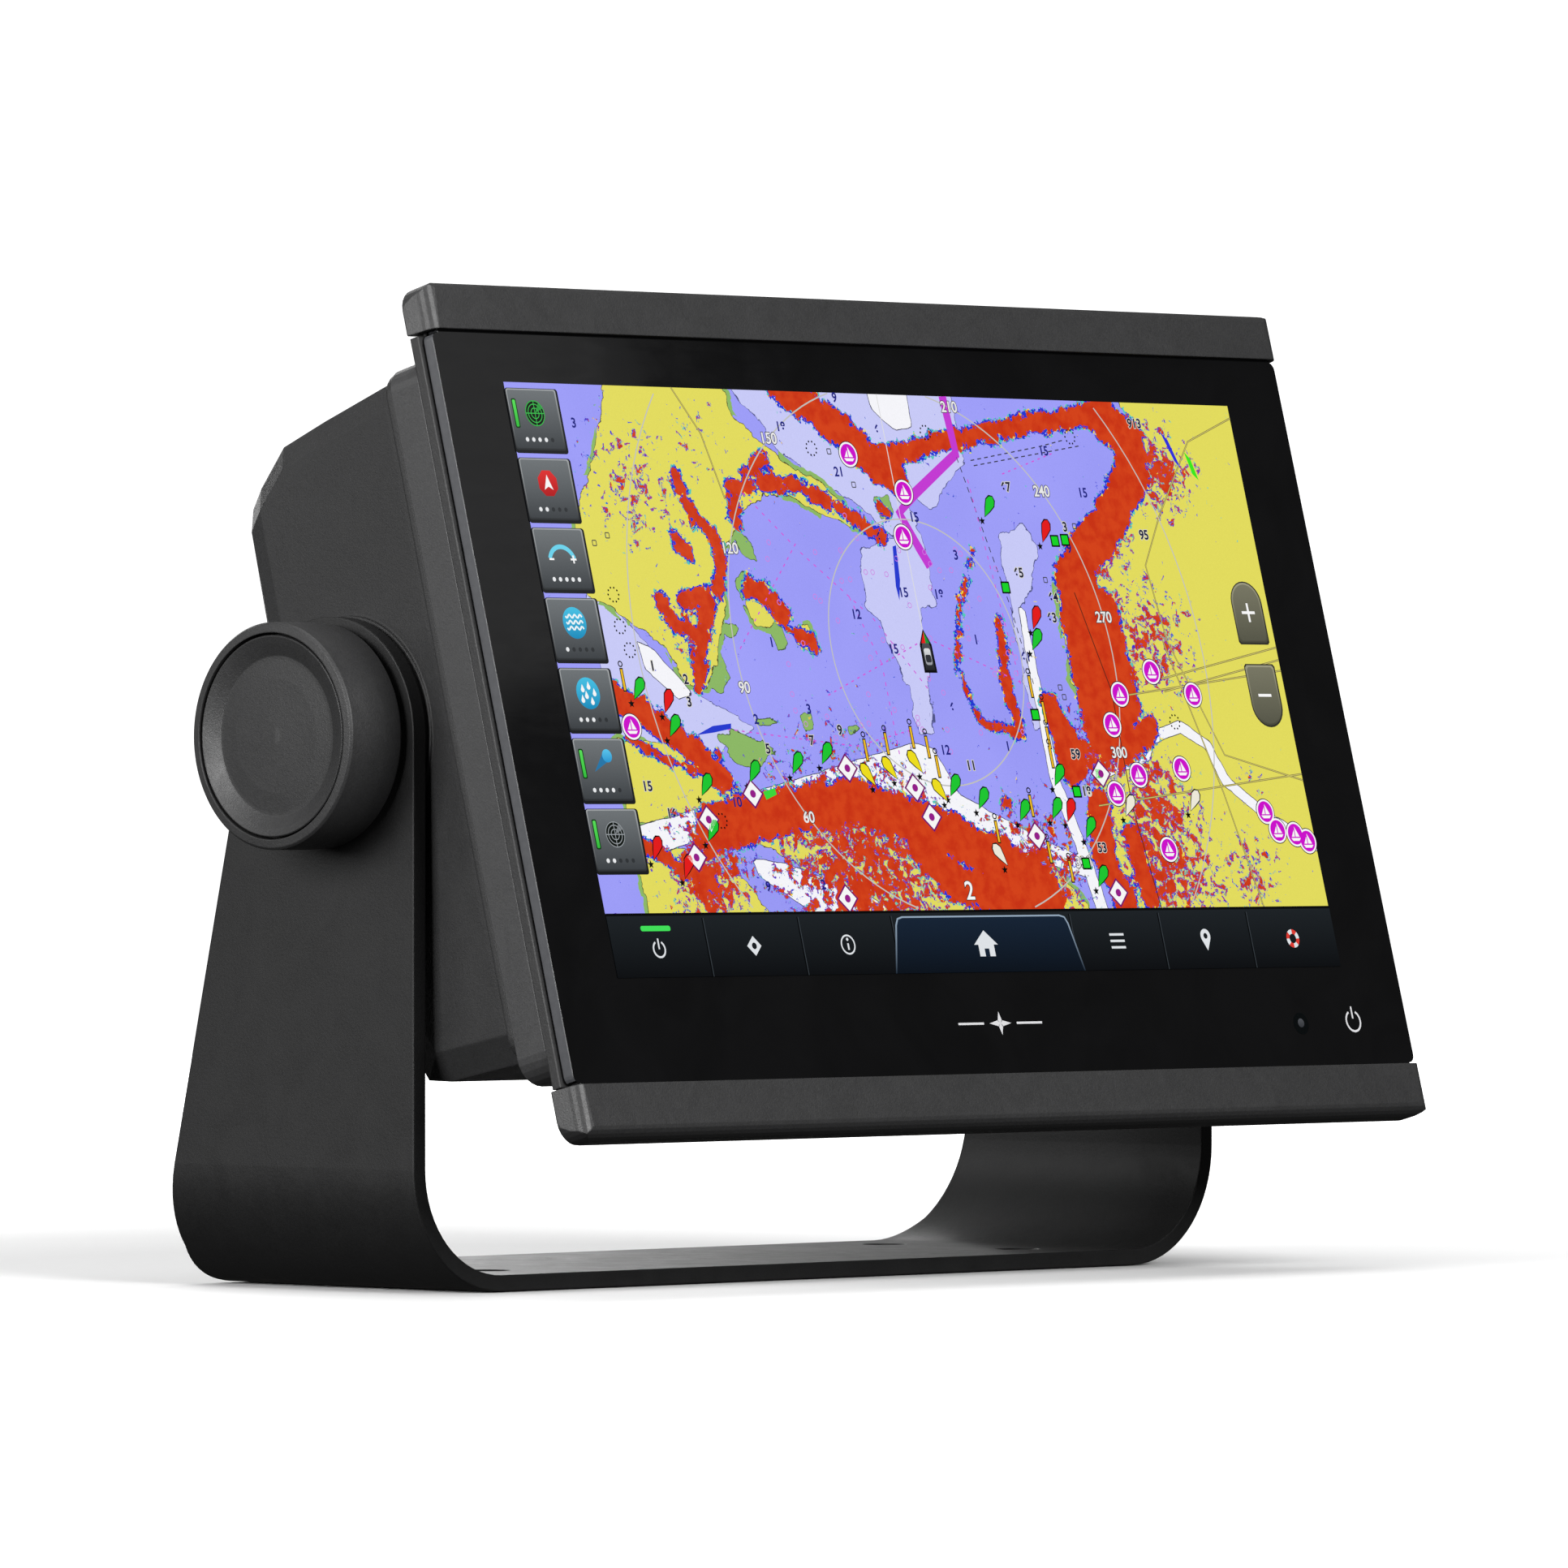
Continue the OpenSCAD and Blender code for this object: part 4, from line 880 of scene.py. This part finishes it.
def info_icon(art):
    art.ring(497, 851, 14, 2.6, ICON, 13)
    art.line([(497, 849), (497, 859)], 3.4, ICON, 14)
    art.disc(497, 843, 2.4, ICON, 14)


def house_icon(art):
    art.shape([(796, 832), (822, 854), (770, 854)], ICON, 14)
    art.shape([(779, 854), (813, 854), (813, 872), (779, 872)], ICON, 14)
    art.shape([(791, 860), (801, 860), (801, 872), (791, 872)], (20, 34, 52), 15)


def list_icon(art):
    for y in (841, 851, 861):
        art.line([(1074, y), (1106, y)], 3.6, ICON, 13)


def place_icon(art):
    art.disc(1291, 845, 11, ICON, 13)
    art.shape([(1281, 850), (1301, 850), (1291, 868)], ICON, 13)
    art.disc(1291, 845, 4.5, (24, 28, 32), 14)


def lifebuoy_icon(art):
    for a in range(0, 360, 45):
        art.ring(1491, 851, 11, 7, (224, 60, 50) if a % 90 == 0 else ICON, 13, a, a + 45, 6)


def glass_marks():
    """Power symbol, light sensor window and a small plain compass mark, on the black border."""
    art = Drawing()
    x, y = in_picture(*POWER_MARK)
    art.ring(x, y + 1, 16, 3.4, PRINT_GREY, 1, -62, 242, 36)
    art.line([(x, y - 22), (x, y - 3)], 3.4, PRINT_GREY, 1)
    x, y = in_picture(*SENSOR_WINDOW)
    art.disc(x, y, 17, (3, 5, 6), 1)
    # painted highlight: the sensor window's lens is lighter at the top and darker at the bottom
    art.disc(x, y - 1, 7, (66, 68, 72), 2, foot=(40, 42, 46))
    x, y = in_picture(0, MIDDLE_MARK_Z)
    for turn in range(4):
        a = turn * math.pi / 2
        tip, side = (math.cos(a), math.sin(a)), (-math.sin(a), math.cos(a))
        waist = [(x + tip[0] * 3 + side[0] * w, y + tip[1] * 3 + side[1] * w) for w in (5, -5)]
        art.shape([(x + tip[0] * 24, y + tip[1] * 18), waist[0], (x, y), waist[1]], PRINT_GREY, 1)
    for end in (-1, 1):
        art.line([(x + end * 36, y), (x + end * 92, y)], 3.4, PRINT_GREY, 1)
    art.build("glass_marks", ink_material())


def ink_material():
    """Printed marks: flat tints with a slightly uneven film, and a painted glow in their own colour that
    lights them up.
    """
    s = Shader("printed_marks_painted_glow")
    tint = s.attribute("tint").outputs["Color"]
    uneven = s.noise(0.4, 2)
    # painted glow: the print gives off light of its own colour, though it is no lamp
    s.set(Base_Color=s.mix(s.spread(uneven, 0.3, 0.7, 0, 0.12), tint, (0, 0, 0, 1)),
          Roughness=s.spread(uneven, 0.3, 0.7, 0.1, 0.2), Emission_Color=tint, Emission_Strength=0.25)
    return s.material


def lit_material():
    """Lit picture elements under polished glass, with a barely visible panel texture."""
    s = Shader("screen_symbols")
    tint = s.attribute("tint").outputs["Color"]
    weave = s.noise(0.25, 1)
    s.set(Base_Color=(0, 0, 0, 1), Roughness=0.12, Specular_IOR_Level=0.3,
          Emission_Color=tint, Emission_Strength=s.spread(weave, 0.2, 0.8, 0.93, 0.99))
    return s.material


def add_screen():
    add_chart()
    art = Drawing()
    for part in (range_rings, long_targets, lanes, chart_symbols, soundings, boat,
                 key_column, zoom_keys, bottom_bar):
        part(art)
    art.build("screen_symbols", lit_material())
    glass_marks()


# ---- floor, light and camera ----

def add_stage():
    """A round seamless pale sweep: flat under the object and curving up all around it.

    It casts no shadow and is left out of bounced light and reflections.
    """
    profile = [(SWEEP_DISC_M, 0.0), (SWEEP_FLAT_M, 0.0)]
    profile += [(SWEEP_FLAT_M + SWEEP_BEND_M * math.sin(a), SWEEP_BEND_M - SWEEP_BEND_M * math.cos(a))
                for a in np.linspace(0.1, math.pi / 2, 12)]
    profile += [(SWEEP_FLAT_M + SWEEP_BEND_M, SWEEP_TOP_M)]
    around = 72
    points = [(r * math.cos(k * math.tau / around), r * math.sin(k * math.tau / around), z - FLOOR_GAP_M)
              for r, z in profile for k in range(around)]
    faces = [(j * around + k, (j + 1) * around + k,
              (j + 1) * around + (k + 1) % around, j * around + (k + 1) % around)
             for j in range(len(profile) - 1) for k in range(around)]
    faces.append(tuple(range(around)))
    mesh = bpy.data.meshes.new("sweep")
    mesh.from_pydata(points, [], faces)
    mesh.polygons.foreach_set("use_smooth", [True] * len(faces))
    mesh.materials.append(paper_material())
    sweep = bpy.data.objects.new("sweep", mesh)
    bpy.context.scene.collection.objects.link(sweep)
    sweep.visible_diffuse = False
    sweep.visible_glossy = False
    sweep.visible_shadow = False


def paper_material():
    """White paper that glows more towards the outside, where little light falls on it."""
    s = Shader("paper_sweep")
    fibres = s.noise(3, 4)
    reach = s.node("ShaderNodeVectorMath", {0: s.place}, operation="LENGTH").outputs["Value"]
    s.set(Base_Color=s.mix(fibres, (0.86, 0.86, 0.86, 1), (0.9, 0.9, 0.9, 1)), Roughness=0.9,
          Specular_IOR_Level=0.1, Emission_Color=(1, 1, 1, 1),
          Emission_Strength=s.spread(reach, 0.15, 0.9, 0.0, 1.0), Normal=s.relief(fibres, 0.02))
    return s.material


def add_light(name, place_m, size_m, watts):
    """A softbox aimed at the middle of the part."""
    data = bpy.data.lights.new(name, "AREA")
    data.shape, data.size, data.size_y, data.energy = "RECTANGLE", size_m[0], size_m[1], watts
    lamp = bpy.data.objects.new(name, data)
    lamp.location = place_m
    lamp.rotation_euler = (Vector(MIDDLE_OF_PART_M) - Vector(place_m)).to_track_quat("-Z", "Y").to_euler()
    bpy.context.scene.collection.objects.link(lamp)


def add_lights():
    add_light("left_softbox", (-1.7, 0, 0.55), (1, 0.8), 31)
    add_light("left_rear_softbox", (-1.15, 1.15, 0.55), (1, 0.8), 2.5)
    add_light("front_softbox", (-0.3, -1.7, 0.9), (1, 0.8), 44)
    add_light("glass_sheen", (0.83, -1.1, 0.95), (0.55, 0.55), 0.35)
    add_light("high_rear_softbox", (0, 1.2, 1.3), (1.4, 0.8), 0.5)
    add_light("low_rear_softbox", (0.8, 1.6, 0.5), (1.2, 0.8), 14)
    add_light("top_softbox", (0, 0, 1.8), (1.6, 1.6), 16)
    world = bpy.data.worlds.new("studio")
    bpy.context.scene.world = world
    world.use_nodes = True
    background = world.node_tree.nodes["Background"]
    background.inputs["Color"].default_value = (1, 1, 1, 1)
    background.inputs["Strength"].default_value = WORLD_LIGHT


def add_camera():
    """A long lens at half the part's height, looking level at its front left corner."""
    data = bpy.data.cameras.new("camera")
    data.lens = CAMERA_LENS
    data.sensor_width = CAMERA_SENSOR
    data.clip_end = CAMERA_REACH_M
    camera = bpy.data.objects.new("camera", data)
    camera.location = CAMERA_PLACE_M
    camera.rotation_euler = (math.radians(90), 0, CAMERA_YAW)
    bpy.context.scene.collection.objects.link(camera)
    bpy.context.scene.camera = camera


dress_cad_nodes(make_materials())
add_screen()
add_stage()
add_lights()
add_camera()
bpy.context.scene.view_settings.view_transform = "Standard"
